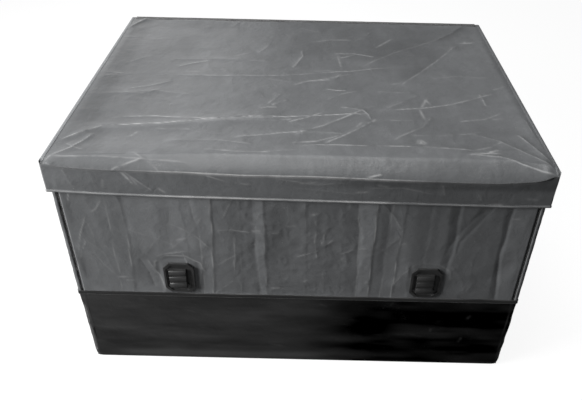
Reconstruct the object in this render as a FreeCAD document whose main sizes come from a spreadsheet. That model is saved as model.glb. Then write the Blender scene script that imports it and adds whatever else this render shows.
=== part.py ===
import FreeCAD, Part
import math
import os
import re

import Sketcher
from FreeCAD import Rotation, Vector

# A framed soft cargo box: a fabric tub with a black waterproof base, a lid with a hanging skirt, and a
# front wall that drops down once its two side zips are open. Millimetres. +Z is up, the front faces -Y,
# and the origin is on the ground under the centre.

# ---------------------------------------------------------------- driving dimensions
SIZES = {
    # the lid, over everything
    "lid_width": 1220,
    "lid_front": 465,  # centre line to the front skirt's outer face
    "lid_back": 452,  # centre line to the lid's sewn back edge
    "total_height": 710,
    "skirt_drop": 97,
    "skirt_back": 445,  # centre line to the side skirts' back ends
    "hem_height": 7,
    "batten_radius": 4,
    "batten_setback": 47,  # front batten, back from the skirt to clear the rounded front edge
    "batten_spread": 12,  # side battens, out from the corner posts' centre lines
    # the walls
    "wall_width": 1210,
    "wall_depth": 910,
    "fabric": 1.2,
    "corner_radius": 6,
    "tray_height": 30,
    "band_height": 276,
    "band_hem_height": 12,
    "band_hem_proud": 1,
    "fold_height": 404.7,  # the line that the door folds on
    "fold_gap": 0.3,
    "back_top": 707.6,
    "binding_height": 18,
    "binding_thickness": 1,
    "seam_tape_width": 12,
    "seam_tape_thickness": 0.8,
    "seam_lap": 3,  # how far the back seam's tape is centred in from the seam
    # zips: two coils, each sewn to its tape
    "zip_inset": 15,  # side chain's centre line, in from the side wall's outer face
    "zip_foot": 284,
    "zip_head": 660,
    "lid_chain_height": 672,
    "coil_gap": 0.5,  # half the gap between the two coils
    "coil_width": 2.2,
    "coil_thickness": 2.4,
    "tape_width": 8,
    "tape_thickness": 0.8,
    "edge_gap": 5,  # from a chain's centre line back to the fabric's edge
    "coil_fold_gap": 2,  # the door's coils start this far above the fold
    "chain_corner_gap": 1,  # from a rounded corner to the end of the lid zip's side run
    "chain_back_reach": 4,  # the side run's back end, behind the back posts' centre line
    # hook and loop
    "grip_tape_height": 20,
    "grip_tape_low": 622,
    "grip_tape_half": 560,
    "grip_tape_thickness": 1.4,
    "grip_front_gap": 10,  # a side tape's front end, behind the front posts' centre line
    "grip_back_gap": 20,  # its back end, ahead of the back posts' centre line
    # sliders and cord pulls
    "slider_length": 22,
    "slider_width": 9.6,
    "slider_tail": 7.6,
    "tail_chamfer": 1,
    "head_chamfer": 2,
    "shoulder": 2,  # from a slider's middle to where its full width starts
    "tape_way_reach": 2,  # the tape's way, cut in from the tail's side
    "plate_thickness": 1.6,
    "channel_height": 3.8,
    "lip_width": 0.8,
    "lip_gap": 1.1,  # half the opening that the tape passes through
    "blade_thickness": 0.4,
    "bail_length": 11,
    "bail_width": 2.4,
    "bail_height": 4.6,
    "bail_bar": 1.2,
    "bail_sunk": 0.2,
    "cord_radius": 1.1,
    "cord_spread": 2.8,
    "cord_length": 14,
    "grip_length": 20,
    "grip_width": 9,
    "grip_thickness": 3.4,
    "grip_radius": 1.2,
    "grip_overlap": 2,  # the cord's ends inside the moulded grip
    "slider_height": 648,
    "lid_slider_offset": 13,
    # tube frame and base board
    "tube_radius": 8,
    "tube_wall": 1.2,
    "tube_inset": 19,
    "rail_height": 674,
    "fitting_radius": 10.5,
    "fitting_reach": 32,
    "fit_clearance": 0.05,
    "end_gap": 0.5,
    "socket_height": 34,
    "socket_radius": 12,
    "foot_radius": 16,
    "foot_thickness": 3,
    "board_inset": 7,
    "board_thickness": 3,
    # moulded lash loops
    "loop_spread": 330,
    "loop_shift": 12,  # the front pair is sewn on this far to the right of the middle
    "loop_height": 337,
    "plate_width": 81,
    "plate_height": 102,
    "plate_cut_x": 15,
    "plate_cut_z": 16,
    "base_thickness": 3.2,
    "rim_width": 5.5,
    "rim_height": 2.2,
    "bridge_width": 45,
    "bridge_height": 66,
    "bridge_shift": 3,
    "bridge_depth": 9.6,
    "ridge_radius": 11.3,
    "ridge_centre": 2.6,
    "ridge_pitch": 22,
    "strap_slot": 52,
    "strap_gap": 4,
    "throat_width": 6,
    "throat_skin": 1,
    "flute_width": 1.6,
    "flute_height": 1.2,
    "flute_length": 60,
    "flute_gap": 2,
    "strap_margin": 1,  # between the slot's ends and the rim
    "patch_margin": 3,
    "patch_thickness": 1.6,
    # how far a cutting shape runs past what it cuts
    "overrun": 1,
}

SIDES = {"left": -1, "right": 1}

HALF_X = "wall_width / 2"
HALF_Y = "wall_depth / 2"
LID_HALF = "lid_width / 2"
LID_UNDER = "(total_height - fabric)"
SKIRT_LOW = "(total_height - skirt_drop)"
TAPE_DEPTH = "(fabric + tape_thickness / 2)"  # tape centre, in from a wall's outer face
CHAIN_X = f"({HALF_X} - zip_inset)"
WALL_TOP = "(lid_chain_height - edge_gap)"
POST_X = f"({HALF_X} - tube_inset)"
POST_Y = f"({HALF_Y} - tube_inset)"
BOARD_TOP = "(fabric + board_thickness)"

doc = FreeCAD.newDocument("CargoBox")
sheet = doc.addObject("Spreadsheet::Sheet", "Sizes")
for row, (alias, size) in enumerate(SIZES.items(), start=1):
    sheet.set(f"A{row}", str(size))
    sheet.setAlias(f"A{row}", alias)
doc.recompute()

nodes = []  # the finished sub-parts, each with its own Label


# ---------------------------------------------------------------- helpers
def linked(text):
    """An expression in which each driving dimension reads its cell of the sheet."""
    return re.sub(r"[a-z_]+", lambda word: f"Sizes.{word[0]}" if word[0] in SIZES else word[0], text)


def bind(thing, **expressions):
    for name, text in expressions.items():
        thing.setExpression(name.replace("__", "."), linked(str(text)))


def place(thing, x="0", y="0", z="0", turn=None):
    """Put a finished shape at x, y, z after an optional turn."""
    if turn is not None:
        thing.Placement.Rotation = turn
    bind(thing, Placement__Base__x=x, Placement__Base__y=y, Placement__Base__z=z)
    return thing


def block(name, x, y, z):
    """A box between two positions on each axis, in either order."""
    box = doc.addObject("Part::Box", name)
    for side, axis, (start, end) in zip(("Length", "Width", "Height"), "xyz", (x, y, z)):
        box.setExpression(side, linked(f"abs(({end}) - ({start}))"))
        box.setExpression(f"Placement.Base.{axis}", linked(f"min({start}; {end})"))
    return box


TURNS = {
    "x": Rotation(Vector(0, 1, 0), 90),
    "y": Rotation(Vector(1, 0, 0), -90),
    "z": Rotation(),
}


def cylinder(name, along, radius, length, x, y, z):
    """A cylinder that starts at x, y, z and runs along the positive axis named."""
    round_bar = doc.addObject("Part::Cylinder", name)
    bind(round_bar, Radius=radius, Height=length)
    return place(round_bar, x, y, z, TURNS[along])


def fuse(name, *pieces):
    joined = doc.addObject("Part::MultiFuse", name)
    joined.Shapes = list(pieces)
    joined.Refine = True
    return joined


def cut(name, base, tool):
    left_over = doc.addObject("Part::Cut", name)
    left_over.Base = base
    left_over.Tool = tool
    left_over.Refine = True
    return left_over


def common(name, base, tool):
    shared = doc.addObject("Part::Common", name)
    shared.Base = base
    shared.Tool = tool
    return shared


def group(name, *pieces):
    """Separate solids that share one node."""
    together = doc.addObject("Part::Compound", name)
    together.Links = list(pieces)
    return together


def keep(label, thing):
    thing.Label = label
    nodes.append(thing)
    return thing


def mirrored(build):
    """The same builder called for the left and the right side."""
    return [build(name, side) for name, side in SIDES.items()]


def outline(body, plane, corners):
    """A closed sketch of straight sides whose corners are bound to the sheet."""
    sketch = body.newObject("Sketcher::SketchObject", f"{body.Name}_outline")
    origin_plane = next(item for item in body.Origin.OriginFeatures if item.Role == plane)
    sketch.AttachmentSupport = [(origin_plane, "")]
    sketch.MapMode = "FlatFace"
    count = len(corners)
    turns = [2 * math.pi * n / count for n in range(count)]
    rough = [Vector(math.cos(turn), math.sin(turn)) for turn in turns]  # the constraints pull it into shape
    for n in range(count):
        sketch.addGeometry(Part.LineSegment(rough[n], rough[(n + 1) % count]))
    for n in range(count):
        sketch.addConstraint(Sketcher.Constraint("Coincident", n, 2, (n + 1) % count, 1))
    for n, corner in enumerate(corners):
        for kind, text, start in zip(("DistanceX", "DistanceY"), corner, rough[n]):
            index = sketch.addConstraint(Sketcher.Constraint(kind, -1, 1, n, 1, start))
            sketch.setExpression(f"Constraints[{index}]", linked(text))
    return sketch


def pad(body, sketch, length, midplane=False):
    feature = body.newObject("PartDesign::Pad", f"{body.Name}_pad")
    feature.Profile = sketch
    feature.Midplane = midplane
    bind(feature, Length=length)
    return feature


def rounded_box(name, half_x, half_y, low, high, radius, picks):
    """A box centred in X and Y, with the picked edges rounded."""
    body = doc.addObject("PartDesign::Body", name)
    box = body.newObject("PartDesign::AdditiveBox", f"{name}_box")
    bind(box, Length=f"2 * ({half_x})", Width=f"2 * ({half_y})", Height=f"({high}) - ({low})")
    place(box, f"-({half_x})", f"-({half_y})", low)
    doc.recompute()
    edges = [f"Edge{n}" for n, edge in enumerate(box.Shape.Edges, start=1) if picks(edge, box.Shape)]
    rounding = body.newObject("PartDesign::Fillet", f"{name}_rounding")
    rounding.Base = (box, edges)
    bind(rounding, Radius=radius)
    return body


def upright(edge, shape):
    return edge.BoundBox.ZLength > 0.5 * shape.BoundBox.ZLength


def not_on_top(edge, shape):
    return edge.BoundBox.ZMin < shape.BoundBox.ZMax - 0.1


def every_edge(edge, shape):
    return True


# ---------------------------------------------------------------- walls and base
def wall_ring(name, low, high):
    """The tub's wall as a closed ring between two heights."""
    outer = rounded_box(f"{name}_outer", HALF_X, HALF_Y, low, high, "corner_radius", upright)
    inner_x, inner_y = f"{HALF_X} - fabric", f"{HALF_Y} - fabric"
    inner = rounded_box(f"{name}_inner", inner_x, inner_y, low, high, "corner_radius - fabric", upright)
    return cut(name, outer, inner)


def wall_end(name, side, low, high, inset):
    """One end of the wall ring, with short returns around both of its corners."""
    window = block(
        f"{name}_window",
        (f"{side} * ({HALF_X} - ({inset}))", f"{side} * ({HALF_X} + overrun)"),
        (f"-{HALF_Y} - overrun", f"{HALF_Y} + overrun"),
        (low, high),
    )
    return common(name, wall_ring(f"{name}_ring", low, high), window)


def flat_wall(name, side, half_x, low, high):
    """The straight stretch of the front (-1) or back (1) wall."""
    return block(
        name, (f"-({half_x})", half_x), (f"{side} * ({HALF_Y} - fabric)", f"{side} * {HALF_Y}"), (low, high)
    )


tray_outer = rounded_box("tray_outer", HALF_X, HALF_Y, "0", "tray_height", "corner_radius", not_on_top)
tray_inner = rounded_box(
    "tray_inner",
    f"{HALF_X} - fabric",
    f"{HALF_Y} - fabric",
    "fabric",
    "tray_height + overrun",
    "corner_radius - fabric",
    not_on_top,
)
keep("floor_tray", cut("floor_tray", tray_outer, tray_inner))

for end, side in SIDES.items():
    keep(f"band_{end}", wall_end(f"band_{end}", side, "tray_height", "band_height", "zip_inset"))
    edge = "zip_inset - edge_gap"
    keep(f"side_panel_{end}", wall_end(f"side_panel_{end}", side, "band_height", WALL_TOP, edge))

keep("band_front", flat_wall("band_front", -1, CHAIN_X, "tray_height", "band_height"))
keep("band_back", flat_wall("band_back", 1, CHAIN_X, "tray_height", "band_height"))

hem_outer = rounded_box(
    "hem_outer",
    f"{HALF_X} + band_hem_proud",
    f"{HALF_Y} + band_hem_proud",
    "band_height - band_hem_height",
    "band_height",
    "corner_radius + band_hem_proud",
    upright,
)
hem_inner = rounded_box(
    "hem_inner", HALF_X, HALF_Y, "band_height - band_hem_height", "band_height", "corner_radius", upright
)
keep("band_hem", cut("band_hem", hem_outer, hem_inner))

PANEL_HALF = f"({CHAIN_X} - edge_gap)"
BACK_HALF = f"({CHAIN_X} + edge_gap)"
keep("sill_panel", flat_wall("sill_panel", -1, PANEL_HALF, "band_height", "fold_height - fold_gap"))
keep("back_panel", flat_wall("back_panel", 1, BACK_HALF, "band_height", "back_top"))

board = block(
    "base_board",
    (f"-({HALF_X} - board_inset)", f"{HALF_X} - board_inset"),
    (f"-({HALF_Y} - board_inset)", f"{HALF_Y} - board_inset"),
    ("fabric", BOARD_TOP),
)
keep("base_board", board)


def seam_tape(name, side, end, centre_x, low, high):
    """A tape sewn over an upright seam, on the inside of the front or back wall."""
    inner = f"({HALF_Y} - fabric)"
    return block(
        name,
        (f"{side} * ({centre_x} - seam_tape_width / 2)", f"{side} * ({centre_x} + seam_tape_width / 2)"),
        (f"{end} * ({inner} - seam_tape_thickness)", f"{end} * {inner}"),
        (low, high),
    )


tapes = []
back_seam = f"({BACK_HALF} - seam_lap)"
for name, side in SIDES.items():
    tapes.append(seam_tape(f"back_tape_{name}", side, 1, back_seam, "band_height", WALL_TOP))
    for wall, end in (("front", -1), ("back", 1)):
        tape_name = f"band_tape_{wall}_{name}"
        tapes.append(seam_tape(tape_name, side, end, CHAIN_X, "tray_height", "band_height - band_hem_height"))
keep("seam_tapes", group("seam_tapes", *tapes))

binding = block(
    "hinge_binding",
    (f"-{BACK_HALF}", BACK_HALF),
    (HALF_Y, f"{HALF_Y} + binding_thickness"),
    ("back_top - binding_height", "back_top"),
)
keep("hinge_binding", binding)


# ---------------------------------------------------------------- door
door = flat_wall("door_panel", -1, PANEL_HALF, "fold_height + fold_gap", WALL_TOP)
keep("door_panel", door)


# ---------------------------------------------------------------- lid
keep(
    "lid_panel",
    block("lid_panel", (f"-{LID_HALF}", LID_HALF), ("-lid_front", "lid_back"), (LID_UNDER, "total_height")),
)
keep(
    "lid_skirt_front",
    block(
        "lid_skirt_front",
        (f"-{LID_HALF}", LID_HALF),
        ("-lid_front", "-lid_front + fabric"),
        (SKIRT_LOW, LID_UNDER),
    ),
)
for end, side in SIDES.items():
    skirt = block(
        f"lid_skirt_{end}",
        (f"{side} * ({LID_HALF} - fabric)", f"{side} * {LID_HALF}"),
        ("-lid_front + fabric", "skirt_back"),
        (SKIRT_LOW, LID_UNDER),
    )
    keep(f"lid_skirt_{end}", skirt)

HEM_TOP = f"{SKIRT_LOW} + hem_height"
hem_front = block(
    "skirt_hem_front",
    (f"-({LID_HALF} - fabric)", f"{LID_HALF} - fabric"),
    ("-lid_front + fabric", "-lid_front + 2 * fabric"),
    (SKIRT_LOW, HEM_TOP),
)
hem_ends = mirrored(
    lambda name, side: block(
        f"skirt_hem_{name}",
        (f"{side} * ({LID_HALF} - 2 * fabric)", f"{side} * ({LID_HALF} - fabric)"),
        ("-lid_front + fabric", "skirt_back"),
        (SKIRT_LOW, HEM_TOP),
    )
)
keep("skirt_hem", fuse("skirt_hem", hem_front, *hem_ends))

BATTEN_Z = f"{LID_UNDER} - batten_radius"
front_batten = cylinder(
    "front_batten",
    "x",
    "batten_radius",
    f"2 * {POST_X}",
    f"-{POST_X}",
    "-(lid_front - batten_setback)",
    BATTEN_Z,
)
side_battens = mirrored(
    lambda name, side: cylinder(
        f"{name}_batten",
        "y",
        "batten_radius",
        f"2 * {POST_Y}",
        f"{side} * ({POST_X} + batten_spread)",
        f"-{POST_Y}",
        BATTEN_Z,
    )
)
keep("lid_battens", group("lid_battens", front_batten, *side_battens))


# ---------------------------------------------------------------- zips
def zip_half(name, run, across, depth, side, tape_reach="coil_gap + tape_width"):
    """A coil sewn to its tape, on one side of a chain.

    run, across and depth each pair an axis with a position: run with the ends of the chain, across
    with its centre line, and depth with the tape's centre through the wall.
    """
    spans = {run[0]: run[1]}
    coil = dict(spans)
    coil[across[0]] = (f"{across[1]} + {side} * coil_gap", f"{across[1]} + {side} * (coil_gap + coil_width)")
    coil[depth[0]] = (f"{depth[1]} - coil_thickness / 2", f"{depth[1]} + coil_thickness / 2")
    tape = dict(spans)
    tape[across[0]] = (f"{across[1]} + {side} * coil_gap", f"{across[1]} + {side} * ({tape_reach})")
    tape[depth[0]] = (f"{depth[1]} - tape_thickness / 2", f"{depth[1]} + tape_thickness / 2")
    return fuse(name, block(f"{name}_coil", **coil), block(f"{name}_tape", **tape))


FRONT_DEPTH = ("y", f"-({HALF_Y} - {TAPE_DEPTH})")
FOLD_LOW = "fold_height - fold_gap"
FOLD_HIGH = "fold_height + coil_fold_gap"
LID_CHAIN = ("z", "lid_chain_height")
LID_REACH = f"{LID_UNDER} - lid_chain_height"  # the lid's tape is sewn to the lid itself


def side_zip(label, towards_wall, low, high):
    """The matching halves of both side zips, on the wall or on the door's side of the chain."""
    return group(
        label,
        *mirrored(
            lambda name, side: zip_half(
                f"{label}_{name}",
                ("z", (low, high)),
                ("x", f"{side} * {CHAIN_X}"),
                FRONT_DEPTH,
                side * towards_wall,
            )
        ),
    )


keep("wall_zip_halves", side_zip("wall_zip_halves", 1, "zip_foot", "zip_head"))
keep("sill_zip_halves", side_zip("sill_zip_halves", -1, "zip_foot", FOLD_LOW))
keep("door_zip_halves", side_zip("door_zip_halves", -1, FOLD_HIGH, "zip_head"))

FRONT_RUN = ("x", (f"-{PANEL_HALF}", PANEL_HALF))
keep("door_top_zip_half", zip_half("door_top_zip_half", FRONT_RUN, LID_CHAIN, FRONT_DEPTH, -1))


def end_zip(label, half, reach):
    """The lid zip's straight run along each side wall."""
    return mirrored(
        lambda name, side: zip_half(
            f"{label}_{name}",
            ("y", (f"-({HALF_Y} - corner_radius - chain_corner_gap)", f"{POST_Y} + chain_back_reach")),
            LID_CHAIN,
            ("x", f"{side} * ({HALF_X} - {TAPE_DEPTH})"),
            half,
            reach,
        )
    )


wall_top_zips = end_zip("wall_top_zip", -1, "coil_gap + tape_width")
keep("wall_top_zip_halves", group("wall_top_zip_halves", *wall_top_zips))
lid_front_zip = zip_half("lid_front_zip", FRONT_RUN, LID_CHAIN, FRONT_DEPTH, 1, LID_REACH)
keep("lid_zip_halves", group("lid_zip_halves", lid_front_zip, *end_zip("lid_end_zip", 1, LID_REACH)))


# ---------------------------------------------------------------- hook and loop tapes
GRIP_Z = ("grip_tape_low", "grip_tape_low + grip_tape_height")
GRIP_FRONT_X = ("-grip_tape_half", "grip_tape_half")
GRIP_END_Y = (f"-({POST_Y} - grip_front_gap)", f"{POST_Y} - grip_back_gap")

keep(
    "door_loop_tape",
    block("door_loop_tape", GRIP_FRONT_X, (f"-{HALF_Y}", f"-{HALF_Y} - grip_tape_thickness"), GRIP_Z),
)
keep(
    "wall_loop_tapes",
    group(
        "wall_loop_tapes",
        *mirrored(
            lambda name, side: block(
                f"wall_loop_tape_{name}",
                (f"{side} * {HALF_X}", f"{side} * ({HALF_X} + grip_tape_thickness)"),
                GRIP_END_Y,
                GRIP_Z,
            )
        ),
    ),
)
front_hooks = block(
    "front_hook_tape",
    GRIP_FRONT_X,
    ("-lid_front + fabric", "-lid_front + fabric + grip_tape_thickness"),
    GRIP_Z,
)
end_hooks = mirrored(
    lambda name, side: block(
        f"hook_tape_{name}",
        (f"{side} * ({LID_HALF} - fabric)", f"{side} * ({LID_HALF} - fabric - grip_tape_thickness)"),
        GRIP_END_Y,
        GRIP_Z,
    )
)
keep("skirt_hook_tapes", group("skirt_hook_tapes", front_hooks, *end_hooks))


# ---------------------------------------------------------------- zip sliders and their cord pulls
# In its own frame a slider closes towards +Z, faces -Y, and straddles a chain along Z at x = 0, y = 0.
def slider(name):
    body = doc.addObject("PartDesign::Body", f"{name}_plates")
    half, tail, long_half = "slider_width / 2", "slider_tail / 2", "slider_length / 2"
    corners = [
        (f"-{tail} + tail_chamfer", f"-{long_half}"),
        (f"{tail} - tail_chamfer", f"-{long_half}"),
        (tail, f"-{long_half} + tail_chamfer"),
        (half, "shoulder"),
        (half, f"{long_half} - head_chamfer"),
        (f"{half} - head_chamfer", long_half),
        (f"-{half} + head_chamfer", long_half),
        (f"-{half}", f"{long_half} - head_chamfer"),
        (f"-{half}", "shoulder"),
        (f"-{tail}", f"-{long_half} + tail_chamfer"),
    ]
    thickness = "channel_height + 2 * plate_thickness"
    body.Tip = pad(body, outline(body, "XZ_Plane", corners), thickness, midplane=True)

    channel = ("-channel_height / 2", "channel_height / 2")
    inside = f"{half} - lip_width"
    past = f"{long_half} + overrun"
    throat = block(f"{name}_throat", (f"-({inside})", inside), channel, (f"-({past})", "0"))
    ways = mirrored(
        lambda end, side: block(
            f"{name}_way_{end}",
            (f"{side} * blade_thickness / 2", f"{side} * ({inside})"),
            channel,
            ("0", past),
        )
    )
    tape_way = mirrored(
        lambda end, side: block(
            f"{name}_tape_way_{end}",
            (f"{side} * ({tail} - tape_way_reach)", f"{side} * ({half} + overrun)"),
            ("-lip_gap", "lip_gap"),
            (f"-({past})", past),
        )
    )
    hollow = cut(f"{name}_hollow", body, fuse(f"{name}_ways", throat, *ways, *tape_way))

    face = "channel_height / 2 + plate_thickness"
    arch = block(
        f"{name}_arch",
        ("-bail_width / 2", "bail_width / 2"),
        (f"-({face}) + bail_sunk", f"-({face} + bail_height)"),
        ("-bail_length / 2", "bail_length / 2"),
    )
    eye = block(
        f"{name}_eye",
        ("-bail_width", "bail_width"),
        (f"-({face})", f"-({face} + bail_height - bail_bar)"),
        ("-bail_length / 2 + 2 * bail_bar", "bail_length / 2 - 2 * bail_bar"),
    )
    return fuse(name, hollow, cut(f"{name}_bail", arch, eye))


def cord_pull(name):
    """A cord through the slider's bail, down to a moulded grip."""
    depth = "-(channel_height / 2 + plate_thickness + (bail_height - bail_bar) / 2)"
    bar = cylinder(f"{name}_bar", "x", "cord_radius", "2 * cord_spread", "-cord_spread", depth, "0")
    strands = []
    for end, side in SIDES.items():
        x = f"{side} * cord_spread"
        strand = f"{name}_strand_{end}"
        strands.append(cylinder(strand, "z", "cord_radius", "cord_length", x, depth, "-cord_length"))
        knuckle = doc.addObject("Part::Sphere", f"{name}_knuckle_{end}")
        bind(knuckle, Radius="cord_radius")
        strands.append(place(knuckle, x, depth, "0"))
    grip = rounded_box(
        f"{name}_grip", "grip_width / 2", "grip_thickness / 2", "0", "grip_length", "grip_radius", every_edge
    )
    place(grip, "0", depth, "-cord_length - grip_length + grip_overlap")
    return fuse(name, bar, grip, *strands)


UPWARDS = Rotation()
TO_THE_CENTRE = {"left": Rotation(Vector(0, 1, 0), 90), "right": Rotation(Vector(0, 1, 0), -90)}

for end, side in SIDES.items():
    for label, build in (("slider", slider), ("pull", cord_pull)):
        on_side = build(f"side_{label}_{end}")
        place(on_side, f"{side} * {CHAIN_X}", FRONT_DEPTH[1], "slider_height", UPWARDS)
        keep(f"side_{label}_{end}", on_side)
        on_lid = build(f"lid_{label}_{end}")
        place(on_lid, f"{side} * lid_slider_offset", FRONT_DEPTH[1], "lid_chain_height", TO_THE_CENTRE[end])
        keep(f"lid_{label}_{end}", on_lid)


# ---------------------------------------------------------------- tube frame
def tube(name, along, length, x, y, z):
    outer = cylinder(f"{name}_outer", along, "tube_radius", length, x, y, z)
    inner = cylinder(f"{name}_bore", along, "tube_radius - tube_wall", length, x, y, z)
    return cut(name, outer, inner)


CORNERS = [
    (f"{end_name}_{side_name}", side, end)
    for end_name, end in (("front", -1), ("back", 1))
    for side_name, side in SIDES.items()
]
POST_FOOT = f"({BOARD_TOP} + foot_thickness + end_gap)"
POST_HEAD = "(rail_height - fitting_radius - end_gap)"
RAIL_GAP = "(fitting_radius + end_gap)"

posts = [
    tube(
        f"post_{name}",
        "z",
        f"{POST_HEAD} - {POST_FOOT}",
        f"{side} * {POST_X}",
        f"{end} * {POST_Y}",
        POST_FOOT,
    )
    for name, side, end in CORNERS
]
keep("corner_posts", group("corner_posts", *posts))

long_rails = [
    tube(
        f"long_rail_{name}",
        "x",
        f"2 * ({POST_X} - {RAIL_GAP})",
        f"-({POST_X} - {RAIL_GAP})",
        f"{end} * {POST_Y}",
        "rail_height",
    )
    for name, end in (("front", -1), ("back", 1))
]
keep("long_rails", group("long_rails", *long_rails))

side_rails = mirrored(
    lambda name, side: tube(
        f"side_rail_{name}",
        "y",
        f"2 * ({POST_Y} - {RAIL_GAP})",
        f"{side} * {POST_X}",
        f"-({POST_Y} - {RAIL_GAP})",
        "rail_height",
    )
)
keep("side_rails", group("side_rails", *side_rails))


def corner_fitting(name, side, end):
    """A rounded three-way elbow: a sleeve down, one inwards along X and one inwards along Y."""
    centre = (f"{side} * {POST_X}", f"{end} * {POST_Y}", "rail_height")
    ball = doc.addObject("Part::Sphere", f"{name}_ball")
    bind(ball, Radius="fitting_radius")
    place(ball, *centre)

    def arms(kind, radius, near, far):
        """Three cylinders from near to far, both measured out from the elbow's centre."""
        length = f"({far}) - ({near})"
        x_start = f"{centre[0]} - ({far})" if side > 0 else f"{centre[0]} + ({near})"
        y_start = f"{centre[1]} - ({far})" if end > 0 else f"{centre[1]} + ({near})"
        return [
            cylinder(f"{name}_{kind}_x", "x", radius, length, x_start, centre[1], centre[2]),
            cylinder(f"{name}_{kind}_y", "y", radius, length, centre[0], y_start, centre[2]),
            cylinder(f"{name}_{kind}_z", "z", radius, length, centre[0], centre[1], f"{centre[2]} - ({far})"),
        ]

    sleeves = fuse(f"{name}_sleeves", ball, *arms("sleeve", "fitting_radius", "0", "fitting_reach"))
    bore = "tube_radius + fit_clearance"
    bores = fuse(f"{name}_bores", *arms("bore", bore, "fitting_radius", "fitting_reach + overrun"))
    return cut(name, sleeves, bores)


keep("top_fittings", group("top_fittings", *(corner_fitting(f"fitting_{n}", s, e) for n, s, e in CORNERS)))


def base_socket(name, side, end):
    """A cup on a round foot that stands on the base board and holds a post."""
    x, y = f"{side} * {POST_X}", f"{end} * {POST_Y}"
    foot = cylinder(f"{name}_foot", "z", "foot_radius", "foot_thickness", x, y, BOARD_TOP)
    cup = cylinder(f"{name}_cup", "z", "socket_radius", "socket_height", x, y, BOARD_TOP)
    bore_low = f"{BOARD_TOP} + foot_thickness"
    bore = cylinder(f"{name}_bore", "z", "tube_radius + fit_clearance", "socket_height", x, y, bore_low)
    return cut(name, fuse(f"{name}_solid", foot, cup), bore)


keep("base_sockets", group("base_sockets", *(base_socket(f"socket_{n}", s, e) for n, s, e in CORNERS)))


# ---------------------------------------------------------------- moulded lash loops
# In its own frame a loop's back face is the plane y = 0 and the webbing passes along X behind the bridge.
def octagon(inset):
    x, z = f"plate_width / 2 - {inset}", f"plate_height / 2 - {inset}"
    slope_x, slope_z = f"{x} - plate_cut_x", f"{z} - plate_cut_z"
    quarter = [((x, slope_z), (slope_x, z)), ((slope_x, z), (x, slope_z))]
    corners = []
    for turn, (x_sign, z_sign) in enumerate(((1, 1), (-1, 1), (-1, -1), (1, -1))):
        for corner_x, corner_z in quarter[turn % 2]:
            corners.append((f"{x_sign} * ({corner_x})", f"{z_sign} * ({corner_z})"))
    return corners


def octagon_plate(name, inset, thickness):
    body = doc.addObject("PartDesign::Body", name)
    body.Tip = pad(body, outline(body, "XZ_Plane", octagon(inset)), thickness)
    return body


def lash_loop(name, x, y, turn):
    plate = octagon_plate(f"{name}_plate", "0", "base_thickness + rim_height")
    well = octagon_plate(f"{name}_well", "rim_width", "base_thickness + 2 * rim_height")
    floor = octagon_plate(f"{name}_floor", "0", "base_thickness")
    dished = fuse(f"{name}_dished", cut(f"{name}_rim", plate, well), floor)

    low_x, high_x = "-bridge_width / 2 - bridge_shift", "bridge_width / 2 - bridge_shift"
    bar = block(
        f"{name}_bar", (low_x, high_x), ("0", "-bridge_depth"), ("-bridge_height / 2", "bridge_height / 2")
    )
    ridges = [
        cylinder(
            f"{name}_ridge_{step + 1}",
            "x",
            "ridge_radius",
            "bridge_width",
            low_x,
            "-ridge_centre",
            f"{step} * ridge_pitch",
        )
        for step in (-1, 0, 1)
    ]
    front_half = block(
        f"{name}_front_half",
        (low_x, high_x),
        ("0", "-2 * ridge_radius"),
        ("-bridge_height / 2", "bridge_height / 2"),
    )
    bridge = common(f"{name}_bridge", fuse(f"{name}_ribbed", bar, *ridges), front_half)

    flutes = []
    for end, side in SIDES.items():
        start = f"bridge_width / 2 + throat_width - {side} * bridge_shift + flute_gap"
        flutes.append(
            block(
                f"{name}_flute_{end}",
                (f"{side} * ({start})", f"{side} * ({start} + flute_width)"),
                ("-base_thickness", "-base_thickness - flute_height"),
                ("-flute_length / 2", "flute_length / 2"),
            )
        )
    strap = block(
        f"{name}_strap",
        ("-plate_width / 2 + rim_width + strap_margin", "plate_width / 2 - rim_width - strap_margin"),
        ("-base_thickness", "-base_thickness - strap_gap"),
        ("-strap_slot / 2", "strap_slot / 2"),
    )
    throats = block(
        f"{name}_throats",
        (f"{low_x} - throat_width", f"{high_x} + throat_width"),
        ("-throat_skin", "-base_thickness - overrun"),
        ("-strap_slot / 2", "strap_slot / 2"),
    )
    threaded = cut(
        f"{name}_threaded",
        fuse(f"{name}_solid", dished, bridge),
        fuse(f"{name}_ways", strap, throats),
    )
    return place(fuse(name, threaded, *flutes), x, y, "loop_height", turn)


FACING = {
    "front": Rotation(),
    "back": Rotation(Vector(0, 0, 1), 180),
    "left": Rotation(Vector(0, 0, 1), -90),
    "right": Rotation(Vector(0, 0, 1), 90),
}


def loop_pair(label, facing, y, shift):
    def one(name, side):
        return lash_loop(f"{label}_{name}", f"{shift} + {side} * loop_spread", y, FACING[facing])

    return group(label, *mirrored(one))


keep("front_lash_loops", loop_pair("front_lash_loops", "front", f"-{HALF_Y}", "loop_shift"))
keep("back_lash_loops", loop_pair("back_lash_loops", "back", HALF_Y, "0"))
keep(
    "side_lash_loops",
    group(
        "side_lash_loops",
        *mirrored(lambda name, side: lash_loop(f"side_loop_{name}", f"{side} * {HALF_X}", "0", FACING[name])),
    ),
)

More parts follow.
